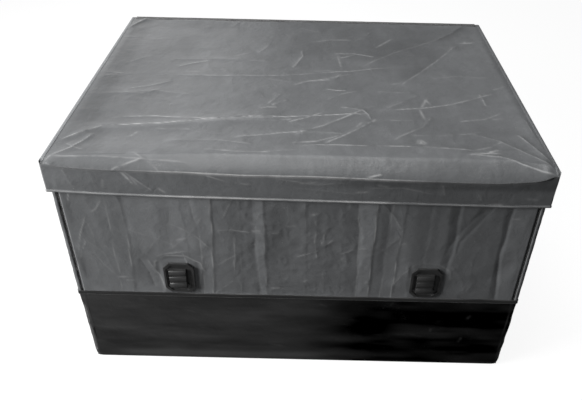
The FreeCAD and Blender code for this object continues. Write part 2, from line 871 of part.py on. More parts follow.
PATCH_HALF = "(plate_width / 2 + patch_margin)"
PATCH_Z = (
    "loop_height - plate_height / 2 - patch_margin",
    "loop_height + plate_height / 2 + patch_margin",
)
patches = []
for name, side in SIDES.items():
    for wall, end, shift in (("front", -1, "loop_shift"), ("back", 1, "0")):
        centre = f"{shift} + {side} * loop_spread"
        span = (f"{centre} - {PATCH_HALF}", f"{centre} + {PATCH_HALF}")
        inner = f"({HALF_Y} - fabric)"
        depth = (f"{end} * {inner}", f"{end} * ({inner} - patch_thickness)")
        patches.append(block(f"patch_{wall}_{name}", span, depth, PATCH_Z))
    inner = f"({HALF_X} - fabric)"
    depth = (f"{side} * {inner}", f"{side} * ({inner} - patch_thickness)")
    patches.append(block(f"patch_side_{name}", depth, (f"-{PATCH_HALF}", PATCH_HALF), PATCH_Z))
keep("loop_backing_patches", group("loop_backing_patches", *patches))


# ---------------------------------------------------------------- check and write
doc.recompute()
for thing in doc.Objects:
    if "Invalid" in thing.State or "Error" in thing.State:
        raise RuntimeError(f"{thing.Name} failed to build: {thing.State}")
for node in nodes:
    if node.Shape.isNull() or not node.Shape.isValid():
        raise RuntimeError(f"{node.Label} has no valid shape")

os.makedirs("parts", exist_ok=True)
for node in nodes:
    node.Shape.exportStep(f"parts/{node.Label}.step")
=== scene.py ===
import math

import bpy
import numpy as np
from mathutils import Matrix, Vector


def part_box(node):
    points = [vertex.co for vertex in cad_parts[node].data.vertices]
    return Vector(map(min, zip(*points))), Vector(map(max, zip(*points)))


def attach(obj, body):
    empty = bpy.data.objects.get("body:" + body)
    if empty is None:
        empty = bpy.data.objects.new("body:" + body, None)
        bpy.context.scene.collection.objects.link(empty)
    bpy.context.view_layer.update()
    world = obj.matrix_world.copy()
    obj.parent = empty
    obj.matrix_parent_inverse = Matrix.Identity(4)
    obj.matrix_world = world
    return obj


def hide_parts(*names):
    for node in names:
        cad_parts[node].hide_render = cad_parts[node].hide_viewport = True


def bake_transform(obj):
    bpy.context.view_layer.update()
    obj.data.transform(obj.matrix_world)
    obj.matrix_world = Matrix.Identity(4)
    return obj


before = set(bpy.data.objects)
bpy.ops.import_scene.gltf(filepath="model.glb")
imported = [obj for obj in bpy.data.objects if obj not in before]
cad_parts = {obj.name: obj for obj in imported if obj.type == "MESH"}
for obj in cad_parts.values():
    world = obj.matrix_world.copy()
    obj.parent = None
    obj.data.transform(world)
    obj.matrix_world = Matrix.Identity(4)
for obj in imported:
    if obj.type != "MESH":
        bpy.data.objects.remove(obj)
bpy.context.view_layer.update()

# A soft cargo box around its tube frame: coated grey fabric over a black waterproof base. Metres, +Z up,
# the front faces -Y. Every fabric part is a grid of points laid where the frame's plain panel is, then
# creased and worn, and painted with light and shade. Folds and scuffs are given in millimetres, patches of
# painted light and shade in metres.

MM = 0.001
FABRIC = 1.2 * MM
SIDES = {"left": -1, "right": 1}
SKIRT_COVER = 0.612  # the skirt hides the walls from this height up, and they have to stay flat there


def low(node):
    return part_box(node)[0]


def high(node):
    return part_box(node)[1]


LID_X = high("lid_panel").x
LID_FRONT = low("lid_panel").y
LID_BACK = high("lid_panel").y
LID_TOP = high("lid_panel").z
SKIRT_LOW = low("lid_skirt_front").z
SKIRT_BACK = high("lid_skirt_left").y
WALL_X = high("side_panel_right").x
WALL_Y = high("back_panel").y
DOOR_X = high("door_panel").x
DOOR_TOP = high("door_panel").z
BAND_TOP = high("band_hem").z
BACK_TOP = high("back_panel").z
WALL_TOP = high("side_panel_left").z
RETURN_X = low("side_panel_right").x


# ---------------------------------------------------------------- smooth random heights and creases
LATTICE = 48  # cells before the random table repeats


def swell(points, size, seed):
    """A smooth random height, about -1 to 1, at each point; size is the spacing of its swells."""
    table = np.random.default_rng(seed).uniform(-1, 1, (LATTICE,) * 3)
    cell = points / np.asarray(size)
    base = np.floor(cell).astype(int)
    part = cell - base
    part = part * part * (3 - 2 * part)
    total = np.zeros(points.shape[:-1])
    for corner in np.ndindex(2, 2, 2):
        weight = np.prod(np.where(corner, part, 1 - part), axis=-1)
        index = (base + corner) % LATTICE
        total += weight * table[index[..., 0], index[..., 1], index[..., 2]]
    return total


def crumple(points, size, seed):
    """Random facets that meet in sharp ridges, 0 in the hollows to 1 on the ridges."""
    bent = points + 0.35 * size * np.stack([swell(points, size, seed + k) for k in (1, 2, 3)], axis=-1)
    return (1 - np.abs(swell(bent, size, seed))) ** 2


def ease(value):
    value = np.clip(value, 0, 1)
    return value * value * (3 - 2 * value)


def window(value, start, end, soft):
    """1 between start and end, fading to 0 over soft outside them."""
    return ease((value - start) / soft + 1) * ease((end - value) / soft + 1)


def bell(off, width):
    """1 where off is 0, fading to nothing at about twice the width."""
    return np.exp(-((off / width) ** 2))


def each(act, rows, **more):
    """One call for each row of a list of folds, marks or patches."""
    for row in rows:
        act(*row, **more)


def to_line(plan, line):
    """How far each point is to the left of a line of straight runs, and how far along it, 0 to 1."""
    line = np.asarray(line, float) * MM
    lengths = np.linalg.norm(np.diff(line, axis=0), axis=1)
    total = lengths.sum()
    best = np.full(plan.shape[:-1], np.inf)
    gap = np.zeros(plan.shape[:-1])
    share = np.zeros(plan.shape[:-1])
    before = 0.0
    for start, end, length in zip(line[:-1], line[1:], lengths):
        run = (end - start) / length
        along = (plan - start) @ run
        near = np.clip(along, 0, length)
        off = plan - start - near[..., None] * run
        distance = np.linalg.norm(off, axis=-1)
        side = np.where(run[0] * off[..., 1] - run[1] * off[..., 0] >= 0, 1, -1)
        closer = distance < best
        best = np.where(closer, distance, best)
        gap = np.where(closer, side * distance, gap)
        share = np.where(closer, (before + near) / total, share)
        before += length
    return gap, share


class Sheet:
    """A grid of fabric: its points, how far each stands off the sheet, its wear with some painted highlight,
    and its tone of painted light and shade with some random tone.
    """

    def __init__(self, points):
        self.points = np.asarray(points, float)
        shape = self.points.shape[:2]
        self.rise = np.zeros(shape)
        self.wear_and_highlight = np.zeros(shape)
        self.tone = np.zeros(shape)

    def normals(self, points=None):
        points = self.points if points is None else points
        across = np.gradient(points, axis=1)
        down = np.gradient(points, axis=0)
        normal = np.cross(down, across)
        length = np.linalg.norm(normal, axis=-1, keepdims=True)
        return normal / np.maximum(length, 1e-12)

    def shaped(self):
        """The points moved along the sheet's own normals by the rise."""
        return self.points + self.normals() * self.rise[..., None]

    def crumple(self, height, size, seed, level=0.4, where=1.0):
        """Sharp random facets; level is the share of their height that sinks below the sheet."""
        self.rise += where * height * MM * (crumple(self.points, size, seed) - level)

    def rub(self, wear):
        self.wear_and_highlight = np.maximum(self.wear_and_highlight, wear)

    def settle(self, cloth, u, v, most, strength, where=1.0, passes=3):
        """Adds a settled cloth's height, capped at most and read at shares u across and v down."""
        self.rise += where * capped(read_field(cloth, u, v, passes), most * MM) * strength

    def crease(self, line, height, width, wear=0.0, thin=1.9, axes=(0, 1), only=1.0, lean=1.0):
        """A sharp fold along a line, in millimetres on the two axes named.

        width is how far the fabric takes to settle on the line's left, and lean times that on its right.
        A worn line is thin and patchy.
        """
        plan = self.points[..., list(axes)]
        corners = np.array(line, float) * MM
        room = 5 * width * max(1.0, lean) * MM
        inside = (plan > corners.min(0) - room) & (plan < corners.max(0) + room)
        near = np.nonzero(inside.all(-1))
        if not len(near[0]):
            return
        here, only = self.points[near], np.broadcast_to(only, self.rise.shape)[near]
        wobble = swell(here, 0.045, 11) * 1.5 * MM + swell(here, 0.012, 12) * 0.5 * MM
        gap, share = to_line(plan[near], line)
        gap = gap + wobble
        fade = ease(share / 0.12) * ease((1 - share) / 0.12)
        reach = np.where(gap > 0, width, width * lean) * MM
        self.rise[near] += height * MM * fade * only * np.exp(-np.abs(gap) / reach)
        patchy = ease(0.65 + 0.7 * swell(here, 0.03, 13) + 0.35 * swell(here, 0.008, 14))
        mark = wear * fade * only * patchy * bell(gap, thin * MM)
        self.wear_and_highlight[near] = np.maximum(self.wear_and_highlight[near], mark)

    def flank(self, line, tone, width, left=False, only=1.0):
        """A change of tone on one side of a line, in millimetres, fading out over width."""
        gap, share = to_line(self.points[..., :2], line)
        off = (gap if left else -gap) / MM
        ends = ease(share / 0.2) * ease((1 - share) / 0.2)
        self.tone += tone * ends * only * ease(off / 6 + 0.5) * np.exp(-np.maximum(off, 0) / width)

    def patch(self, tone, first, second, axes=(0, 1), only=1.0):
        """A lighter or darker area: from, to and softness along each of two axes, in metres."""
        for axis, span in zip(axes, (first, second)):
            only = only * window(self.points[..., axis], *span)
        self.tone += tone * only

    def small_folds(self, count, seed, axes, height, wear, slope, only=1.0):
        """Short random folds, most of them lying near one slope, in degrees."""
        chance = np.random.default_rng(seed)
        plan = self.points[..., list(axes)].reshape(-1, 2) / MM
        least, most = plan.min(0), plan.max(0)
        for _ in range(count):
            middle = chance.uniform(least, most)
            turn = math.radians(slope + chance.normal(0, 28))
            run = np.array((math.cos(turn), math.sin(turn))) * chance.uniform(20, 75)
            bow = np.array((-run[1], run[0])) * chance.uniform(-0.2, 0.2)
            line = (middle - run, middle + bow, middle + run)
            size = chance.uniform(0.3, 1.0)
            self.crease(line, height * size, 5 + 7 * size, wear * chance.uniform(0, 1), 1.5, axes, only, 0.6)

    def scuff(self, x, y, length, angle, strength, axes=(0, 1), only=1.0):
        """A short pale rubbed mark, its place and length in millimetres and its angle in degrees."""
        turn = math.radians(angle)
        middle = np.array((x, y)) * MM
        off = self.points[..., list(axes)] - middle
        along = off @ np.array((math.cos(turn), math.sin(turn)))
        across = off @ np.array((-math.sin(turn), math.cos(turn)))
        patchy = 0.8 + 0.6 * swell(self.points, 0.006, 15)
        shape = np.exp(-((along / (length / 2 * MM)) ** 4)) * bell(across, 3 * MM)
        self.rub(strength * only * patchy * shape)


# ---------------------------------------------------------------- cloth that settles under its own weight
CLOTH_FRAMES = 26


def settled_cloth(corner, across, down, spare, cell, seed):
    """A grid of how far a panel held round its edge stands off flat once its spare cloth has settled."""
    corner, across, down = (np.array(side, float) for side in (corner, across, down))
    columns = int(np.linalg.norm(across) / cell) + 1
    rows = int(np.linalg.norm(down) / cell) + 1
    u, v = np.meshgrid(np.linspace(0, 1, columns), np.linspace(0, 1, rows))
    out = np.cross(down, across)
    out /= np.linalg.norm(out)
    flat = corner + u[..., None] * across + v[..., None] * down
    edge = (u == 0) | (u == 1) | (v == 0) | (v == 1)
    nudge = np.where(edge, 0, np.random.default_rng(seed).normal(0, 0.6 * MM, u.shape))
    start = flat + nudge[..., None] * out
    panel = mesh_object("panel", start.reshape(-1, 3), grid_faces(rows, columns))
    held = panel.vertex_groups.new(name="held")
    held.add(np.flatnonzero(edge.ravel()).tolist(), 1.0, "REPLACE")
    cloth = panel.modifiers.new("cloth", "CLOTH")
    cloth.point_cache.frame_start = 1
    cloth.point_cache.frame_end = CLOTH_FRAMES
    rules = cloth.settings
    rules.quality = 6
    rules.mass = 0.2
    rules.vertex_group_mass = "held"
    rules.tension_stiffness = rules.compression_stiffness = 25
    rules.shear_stiffness = 12.5
    rules.bending_stiffness = 0.4
    rules.air_damping = 4
    rules.shrink_min = -spare
    for moment in range(1, CLOTH_FRAMES + 1):
        bpy.context.scene.frame_set(moment)
    settled = panel.evaluated_get(bpy.context.evaluated_depsgraph_get())
    found = np.empty(rows * columns * 3)
    settled.data.vertices.foreach_get("co", found)
    bpy.data.objects.remove(panel)
    bpy.context.scene.frame_set(1)
    return (found.reshape(rows, columns, 3) - flat) @ out


def blurred(field, passes):
    """A grid smoothed with its neighbours both ways."""
    for _ in range(passes):
        for axis in (0, 1):
            edges = [(1, 1) if axis == k else (0, 0) for k in (0, 1)]
            padded = np.pad(field, edges, mode="edge")
            count = field.shape[axis]
            before, after = (np.take(padded, range(k, k + count), axis) for k in (0, 2))
            field = (before + 2 * field + after) / 4
    return field


def read_field(field, u, v, passes=3):
    """A coarse field read smoothly at shares u across and v down."""
    rows, columns = field.shape
    field = blurred(field, 1)
    x = np.clip(u, 0, 1) * (columns - 1)
    y = np.clip(v, 0, 1) * (rows - 1)
    left = np.clip(x.astype(int), 0, columns - 2)
    upper = np.clip(y.astype(int), 0, rows - 2)
    x, y = ease(x - left), ease(y - upper)
    top = field[upper, left] * (1 - x) + field[upper, left + 1] * x
    bottom = field[upper + 1, left] * (1 - x) + field[upper + 1, left + 1] * x
    return blurred(top * (1 - y) + bottom * y, passes)


def capped(field, most):
    """A field bent over smoothly, so that it never passes most either way."""
    return most * np.tanh(field / most)


# ---------------------------------------------------------------- meshes
def mesh_object(name, vertices, *face_groups):
    """A smooth mesh; each group of faces is an array with one row of corners to a face."""
    mesh = bpy.data.meshes.new(name)
    mesh.vertices.add(len(vertices))
    mesh.vertices.foreach_set("co", np.ascontiguousarray(vertices, np.float32).ravel())
    corners = np.concatenate([group.ravel() for group in face_groups])
    sizes = np.concatenate([np.full(len(group), group.shape[1]) for group in face_groups])
    mesh.loops.add(len(corners))
    mesh.loops.foreach_set("vertex_index", corners.astype(np.int32))
    mesh.polygons.add(len(sizes))
    mesh.polygons.foreach_set("loop_start", (np.cumsum(sizes) - sizes).astype(np.int32))
    mesh.polygons.foreach_set("use_smooth", np.ones(len(sizes), bool))
    mesh.update(calc_edges=True)
    thing = bpy.data.objects.new(name, mesh)
    bpy.context.scene.collection.objects.link(thing)
    return thing


def grid_faces(rows, columns, start=0, wrap=False):
    """The faces of a grid of points; wrap joins its last column to its first."""
    index = np.arange(rows * columns).reshape(rows, columns) + start
    if wrap:
        index = np.concatenate([index, index[:, :1]], axis=1)
    a, b, c, d = index[:-1, :-1], index[:-1, 1:], index[1:, 1:], index[1:, :-1]
    return np.stack([a, d, c, b], axis=-1).reshape(-1, 4)


def stand_in(thing, slot, *nodes):
    """Hides the plain nodes that a piece takes the place of; slot is not used."""
    if nodes:
        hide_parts(*nodes)


def fabric_object(name, sheets, materials, body=None, thickness=FABRIC, wrap=False):
    """One object of one or more sheets, thickened inwards; the second material lines it."""
    points, faces, wear_and_highlight, tone, start = [], [], [], [], 0
    for sheet in sheets:
        rows, columns = sheet.points.shape[:2]
        points.append(sheet.shaped().reshape(-1, 3))
        faces.append(grid_faces(rows, columns, start, wrap))
        wear_and_highlight.append(sheet.wear_and_highlight.ravel())
        tone.append(sheet.tone.ravel())
        start += rows * columns
    thing = mesh_object(name, np.concatenate(points), np.concatenate(faces))
    # the wear carries some painted highlight, and the tone carries painted light and shade
    for label, values in (("wear_and_highlight", wear_and_highlight), ("tone", tone)):
        layer = thing.data.attributes.new(label, "FLOAT", "POINT")
        layer.data.foreach_set("value", np.concatenate(values).astype(np.float32))
    for material in materials:
        thing.data.materials.append(material)
    thicken = thing.modifiers.new("thickness", "SOLIDIFY")
    thicken.thickness = thickness
    thicken.offset = -1
    thicken.material_offset = len(materials) - 1
    if body:
        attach(thing, body)
    return thing


def spread(start, end, step):
    """Even values from start to end, about a step apart."""
    return np.linspace(start, end, max(2, int(round(abs(end - start) / step)) + 1))


def table(xs, pairs):
    """Sizes in metres at xs, from pairs of a place and a size in millimetres."""
    places, sizes = zip(*pairs)
    return np.interp(np.asarray(xs) / MM, places, sizes) * MM


def softened(values, passes):
    """A row of values smoothed with its neighbours."""
    for _ in range(passes):
        padded = np.pad(values, 1, mode="edge")
        values = (padded[:-2] + 2 * padded[1:-1] + padded[2:]) / 4
    return values


# ---------------------------------------------------------------- node materials
def wave_scale(pitch):
    """The wave texture's scale that repeats every pitch."""
    return math.pi / 20 / pitch


class Finish:
    """A node material built up step by step around one principled shader."""

    def __init__(self, name):
        self.material = bpy.data.materials.new(name)
        self.material.use_nodes = True
        self.tree = self.material.node_tree
        self.shader = next(n for n in self.tree.nodes if n.type == "BSDF_PRINCIPLED")
        self.place = self.add("ShaderNodeTexCoord").outputs["Object"]

    def add(self, kind, inputs=None, **settings):
        node = self.tree.nodes.new(kind)
        for key, value in settings.items():
            setattr(node, key, value)
        for key, value in (inputs or {}).items():
            self.feed(node.inputs[key], value)
        return node

    def feed(self, socket, value):
        if isinstance(value, bpy.types.NodeSocket):
            self.tree.links.new(value, socket)
        else:
            socket.default_value = value

    def set(self, **inputs):
        for key, value in inputs.items():
            self.feed(self.shader.inputs[key.replace("_", " ")], value)

    def maths(self, operation, first, second=0.0, clamp=False):
        node = self.add("ShaderNodeMath", {0: first, 1: second}, operation=operation, use_clamp=clamp)
        return node.outputs[0]

    def times(self, *values):
        product = values[0]
        for value in values[1:]:
            product = self.maths("MULTIPLY", product, value)
        return product

    def most(self, *values):
        """The largest of the values, kept between 0 and 1."""
        largest = values[0]
        for value in values[1:]:
            largest = self.maths("MAXIMUM", largest, value, clamp=True)
        return largest

    def edges(self, start, end, strength):
        """0 on flat faces, up to strength where the shape is as sharp as end."""
        sharp = self.add("ShaderNodeNewGeometry").outputs["Pointiness"]
        return self.remap(sharp, start, end, 0.0, strength)

    def hairlines(self, noise, strength):
        """Thin lines where a noise crosses its middle."""
        off = self.maths("ABSOLUTE", self.maths("SUBTRACT", noise, 0.5))
        return self.remap(off, 0.0, 0.006, strength, 0.0)

    def stretched(self, scale):
        return self.add("ShaderNodeMapping", {"Vector": self.place, "Scale": scale}).outputs[0]

    def noise(self, scale, detail=4.0, rough=0.55, place=None, distortion=0.0):
        inputs = {"Vector": place or self.place, "Scale": scale, "Detail": detail}
        inputs.update({"Roughness": rough, "Distortion": distortion})
        return self.add("ShaderNodeTexNoise", inputs).outputs["Fac"]

    def cells(self, scale, feature="F1"):
        inputs = {"Vector": self.place, "Scale": scale}
        return self.add("ShaderNodeTexVoronoi", inputs, feature=feature).outputs["Distance"]

    def remap(self, value, low_in, high_in, low_out, high_out):
        inputs = {"Value": value, 1: low_in, 2: high_in, 3: low_out, 4: high_out}
        return self.add("ShaderNodeMapRange", inputs, clamp=True).outputs[0]

    def attribute(self, name):
        return self.add("ShaderNodeAttribute", attribute_name=name).outputs["Fac"]

    def threads(self, pitch):
        """A plain weave's height: fine waves along each axis, so that it shows on faces that face any way."""
        heights = []
        for axis in "XYZ":
            inputs = {"Vector": self.place, "Scale": wave_scale(pitch), "Distortion": 0.4, "Detail": 1.0}
            wave = self.add("ShaderNodeTexWave", inputs, wave_type="BANDS", bands_direction=axis)
            heights.append(wave.outputs["Fac"])
        return self.maths("ADD", self.maths("ADD", heights[0], heights[1]), heights[2])

    def mix(self, share, first, second, blend="MIX"):
        node = self.add("ShaderNodeMix", data_type="RGBA", blend_type=blend)
        self.feed(node.inputs["Factor"], share)
        for socket, value in ((node.inputs[6], first), (node.inputs[7], second)):
            self.feed(socket, value)
        return node.outputs[2]

    def tinted(self, colour, shade):
        shades = self.add("ShaderNodeCombineXYZ", {0: shade, 1: shade, 2: shade}).outputs[0]
        return self.mix(1.0, colour, shades, "MULTIPLY")

    def bump(self, height, distance, under=None):
        inputs = {"Height": height, "Distance": distance, "Strength": 1.0}
        if under is not None:
            inputs["Normal"] = under
        return self.add("ShaderNodeBump", inputs).outputs["Normal"]


def grey(level, warmth=0.0):
    return (level * (1 + warmth), level, level * (1 - warmth), 1.0)


def coated_cloth(
    name, level, pale, roughness, weave=1.1 * MM, weave_depth=0.05, crinkle=0.5, smear=0.12, blue=0.03
):
    """Fabric with a plastic coat: fine weave, blotches, scratches, specks and pale worn folds, with painted
    light and shade from its tone attribute in its colour, gloss and sheen.
    """
    f = Finish(name)
    blotch = f.remap(f.noise(2.4, 3), 0.3, 0.7, 1 - smear, 1 + smear)
    cloud = f.remap(f.noise(17, 5, 0.6, distortion=0.6), 0.25, 0.75, 1 - smear, 1 + smear)
    grain = f.remap(f.noise(900, 2), 0.2, 0.8, 0.9, 1.1)
    # the tone attribute is painted light and shade; it scales the colour, the gloss and the sheen
    tone = f.remap(f.attribute("tone"), -1, 1, 0, 2)
    base = f.tinted(grey(level, -blue), f.times(blotch, cloud, grain, tone))
    scratch = f.hairlines(f.noise(30, 2, 0.5, f.stretched((1.0, 5.0, 9.0)), 2.0), 0.45)
    sparse = f.remap(f.noise(9, 2, place=f.stretched((1.3, 1.0, 1.2))), 0.56, 0.66, 0.0, 1.0)
    ridge = f.edges(0.53, 0.62, 0.55)
    dry = f.remap(f.noise(60, 3), 0.35, 0.65, 0.3, 1.0)
    speck = f.remap(f.cells(95), 0.05, 0.09, 0.7, 0.0)
    few = f.remap(f.noise(14, 2), 0.58, 0.66, 0.0, 1.0)
    marks = f.times(scratch, sparse), f.times(speck, few), f.times(ridge, dry)
    # the wear attribute also holds a painted highlight along the lid's front fold
    wear_and_highlight = f.most(*marks, f.attribute("wear_and_highlight"))
    f.set(Base_Color=f.mix(wear_and_highlight, base, grey(pale)))
    patch = f.remap(f.noise(6, 4), 0.3, 0.7, roughness - 0.05, roughness + 0.07)
    f.set(Roughness=f.maths("ADD", patch, f.times(wear_and_highlight, 0.2)), Specular_IOR_Level=f.times(tone, 0.45))
    f.set(Sheen_Weight=f.times(tone, 0.08), Sheen_Roughness=0.5)
    folds = f.bump(f.noise(26, 6, 0.62, distortion=1.2), crinkle * 2.5 * MM)
    facets = f.bump(f.cells(55, "SMOOTH_F1"), crinkle * 0.8 * MM, folds)
    f.set(Normal=f.bump(f.threads(weave), weave_depth * MM, facets))
    return f.material


def woven_tape(name, level, pitch=0.9 * MM, depth=0.12, roughness=0.8):
    f = Finish(name)
    cloud = f.remap(f.noise(35, 4), 0.3, 0.7, 0.75, 1.3)
    fibre = f.remap(f.noise(1400, 2), 0.2, 0.8, 0.75, 1.25)
    thread = f.threads(pitch)
    shade = f.times(cloud, fibre, f.remap(thread, 0.0, 3.0, 0.7, 1.3))
    f.set(Base_Color=f.tinted(grey(level), shade), Sheen_Weight=0.25)
    f.set(Roughness=f.remap(fibre, 0.7, 1.3, roughness - 0.1, roughness + 0.1))
    f.set(Normal=f.bump(thread, depth * MM, f.bump(f.noise(500, 3), 0.1 * MM)))
    return f.material


def napped(name, level):
    """Hook and loop tape: a dense tangle of fibre tips."""
    f = Finish(name)
    tips = f.cells(1300)
    mat = f.noise(160, 6, 0.7)
    shade = f.remap(f.times(tips, mat), 0.05, 0.45, 0.5, 1.9)
    f.set(Base_Color=f.tinted(grey(level), shade), Roughness=f.remap(mat, 0.3, 0.7, 0.85, 1.0))
    f.set(Sheen_Weight=0.5, Normal=f.bump(tips, 0.6 * MM, f.bump(mat, 0.8 * MM)))
    return f.material


def moulded(name, level, roughness, pale=0.12, grain=420, depth=0.05, edge=(0.54, 0.62), scratches=0.3):
    """Moulded rubber or plastic: fine stipple, dust, paler rubbed edges and a few scratches."""
    f = Finish(name)
    rub = f.times(f.edges(*edge, 0.8), f.remap(f.noise(70, 4), 0.35, 0.6, 0.2, 1.0))
    scratch = f.hairlines(f.noise(45, 2, 0.5, f.stretched((1.0, 6.0, 11.0)), 2.5), scratches)
    dust = f.remap(f.noise(22, 6, 0.65), 0.45, 0.75, 0.0, 0.25)
    pale_share = f.most(rub, scratch, dust)
    gloss = f.remap(f.noise(30, 4), 0.3, 0.7, roughness - 0.08, roughness + 0.1)
    f.set(Base_Color=f.mix(pale_share, grey(level), grey(pale)))
    f.set(Roughness=f.maths("ADD", gloss, f.times(pale_share, 0.25)))
    f.set(Normal=f.bump(f.noise(grain, 3), depth * MM * 2, f.bump(f.noise(18, 3), 0.3 * MM)))
    return f.material


def enamel(name, level, roughness=0.35, bare=0.45):
    """Painted metal: orange peel, and bright metal where edges have chipped."""
    f = Finish(name)
    chip = f.times(f.edges(0.55, 0.6, 1.0), f.remap(f.noise(160, 4), 0.5, 0.58, 0.0, 1.0))
    cloud = f.remap(f.noise(14, 5), 0.3, 0.7, 0.0, 1.0)
    paint = f.mix(cloud, grey(level * 0.8), grey(level * 1.3))
    f.set(Base_Color=f.mix(chip, paint, grey(bare, 0.03)), Metallic=chip)
    f.set(Roughness=f.remap(f.noise(45, 5), 0.3, 0.7, roughness - 0.08, roughness + 0.12))
    f.set(Coat_Weight=0.25, Normal=f.bump(f.noise(700, 2), 0.05 * MM, f.bump(f.noise(60, 2), 0.1 * MM)))
    return f.material


def sheet_board(name, level):
    """Extruded hollow board: long flutes just showing, scuffed flat."""
    f = Finish(name)
    inputs = {"Vector": f.place, "Scale": wave_scale(6 * MM)}
    flutes = f.add("ShaderNodeTexWave", inputs, bands_direction="X").outputs["Fac"]
    scuffs = f.remap(f.noise(12, 6, 0.7, f.stretched((1.0, 4.0, 1.0))), 0.5, 0.75, 0.0, 0.5)
    f.set(Base_Color=f.mix(scuffs, grey(level), grey(level * 3.5)))
    f.set(Roughness=f.remap(f.noise(40, 3), 0.3, 0.7, 0.45, 0.7))
    f.set(Normal=f.bump(flutes, 0.25 * MM, f.bump(f.noise(250, 3), 0.08 * MM)))
    return f.material


SHELL = coated_cloth("shell_fabric", 0.115, 0.42, 0.44)
LINING = coated_cloth("shell_lining", 0.075, 0.2, 0.62, weave=1.4 * MM, weave_depth=0.12, crinkle=0.4)
# a paler copy of the shell fabric: painted light on the lid's left edge seam, which faces the lamp
PAINTED_LIT_SHELL = coated_cloth("shell_fabric_painted_lit", 0.2, 0.5, 0.5)
TARPAULIN = coated_cloth("tarpaulin", 0.007, 0.13, 0.33, 1.6 * MM, 0.04, crinkle=0.35, smear=0.25, blue=0.0)
TAPE = woven_tape("zip_tape", 0.012)
BINDING = woven_tape("webbing", 0.03, 1.2 * MM, 0.2)
NAP = napped("hook_and_loop", 0.02)
COIL = moulded("zip_coil", 0.012, 0.32, 0.05, 600, 0.01, (0.56, 0.66), 0.0)
THREAD = woven_tape("stitching", 0.16, 0.5 * MM, 0.05, 0.6)
RUBBER = moulded("loop_rubber", 0.022, 0.4, 0.13, 380, 0.03)
METAL = enamel("slider_metal", 0.02)
CORD = woven_tape("pull_cord", 0.022, 0.8 * MM, 0.15, 0.7)
BOARD = sheet_board("board_plastic", 0.03)
TUBE = enamel("frame_tube", 0.05, 0.42, 0.3)
BATTEN = moulded("batten_plastic", 0.45, 0.42, 0.3, 200, 0.02, (0.55, 0.65), 0.2)
FITTING = moulded("fitting_plastic", 0.02, 0.45)
PATCH = moulded("patch_rubber", 0.02, 0.6, 0.09)
LINING_BASE = coated_cloth("tarpaulin_inside", 0.02, 0.06, 0.6, 1.6 * MM, 0.12, crinkle=0.3)
THREAD_DARK = woven_tape("dark_stitching", 0.045, 0.5 * MM, 0.05, 0.6)


# ---------------------------------------------------------------- lid
TOP_ROWS = 262
NOSE_ROWS = 29
SKIRT_ROWS = 27
ROLL_ROWS = 11
SIDE_SKIRT_ROWS = 20
RUBBED_ROW = 3  # the hem's most rubbed row, counted from its stitching
NOSE_BOW = 1.2  # the rounded edge's exponent: 2 is an ellipse, and less bows it towards a chamfer
NOSE_SOFTENING = 7  # smoothing passes where the top starts to turn down
BATTEN_CLEAR = 25 * MM  # no smoothing nearer to the front than this
FRONT_BATTEN = 45 * MM  # the cloth hangs free from here back
HEM_TALL = 7 * MM  # of the rolled hem, below its stitching
HEM_PROUD = 1.7 * MM


def nose_profile(drop, reach, turn):
    """How far the lid's edge has still to go forward, and how far it has come down, at an angle of turn."""
    power = 2 / NOSE_BOW
    return reach * np.sin(turn) ** power, drop * (1 - np.cos(turn) ** power)


def lid_top():
    """The top and the front skirt in one sheet: it rolls over the front edge and ends in a rolled hem."""
    xs = spread(-LID_X, LID_X, 3.2 * MM)
    drops = softened(table(xs, LID_DROP), 30)
    reaches = softened(table(xs, LID_REACH), 30)
    hems = softened(table(xs, LID_HEM), 30)
    flat = np.linspace(0, 1, TOP_ROWS)[:, None]
    top_y = LID_BACK + (LID_FRONT + reaches - LID_BACK) * flat
    turn = np.linspace(0, math.pi / 2, NOSE_ROWS + 1)[1:, None]
    forward, down = nose_profile(drops, reaches, turn)
    hang = np.linspace(0, 1, SKIRT_ROWS + 1)[1:, None]
    fall = LID_TOP - drops - (hems + HEM_TALL)
    skirt_z = LID_TOP - drops - fall * hang
    slack = swell(np.stack(np.broadcast_arrays(xs, 0 * hang, skirt_z), axis=-1), (0.11, 1, 0.05), 21)
    skirt_y = LID_FRONT - (1.0 + 1.6 * slack) * MM * np.sin(hang * math.pi)
    roll_y, roll_z = hem_roll(hems)
    ys = np.concatenate([top_y, LID_FRONT + reaches - forward, skirt_y, LID_FRONT - roll_y])
    zs = np.concatenate([np.full_like(top_y, LID_TOP), LID_TOP - down, skirt_z, roll_z])
    points = np.stack([np.broadcast_to(xs, ys.shape), ys, zs], axis=-1)
    for _ in range(NOSE_SOFTENING):
        before, here, after = points[:-2, :, 2], points[1:-1, :, 2], points[2:, :, 2]
        mean = (before + 2 * here + after) / 4
        points[1:-1, :, 2] = np.where(points[1:-1, :, 1] > LID_FRONT + BATTEN_CLEAR, mean, here)
    sheet = Sheet(points)
    sheet.first_skirt_row = TOP_ROWS + NOSE_ROWS
    sheet.hem_row = TOP_ROWS + NOSE_ROWS + SKIRT_ROWS
    return sheet


def hem_roll(hems):
    """Outward and height offsets of the rolled hem, from its stitching down and round to its inner side."""
    turn = np.linspace(0, 1, ROLL_ROWS + 1)[1:, None]
    outward = HEM_PROUD * np.sin(turn * math.pi) ** 0.7 - 2.4 * MM * ease((turn - 0.85) / 0.15)
    height = hems + HEM_TALL * (1 - ease(turn * 1.05))
    return np.broadcast_to(outward, (ROLL_ROWS, len(hems))), height


# along the front: how deep the rounded edge is, how far back it starts, and the hem's height
LID_DROP = (
    (-610, 4), (-560, 16), (-470, 21), (-270, 23), (-140, 28), (30, 27), (190, 31), (370, 35), (480, 35),
    (570, 26), (610, 5),
)
LID_REACH = (
    (-610, 12), (-540, 26), (-400, 34), (-220, 44), (100, 46), (400, 46), (520, 42), (580, 26), (610, 12),
)
LID_HEM = ((-610, 621), (-480, 615), (-300, 611), (0, 608), (300, 605), (520, 603), (610, 606))


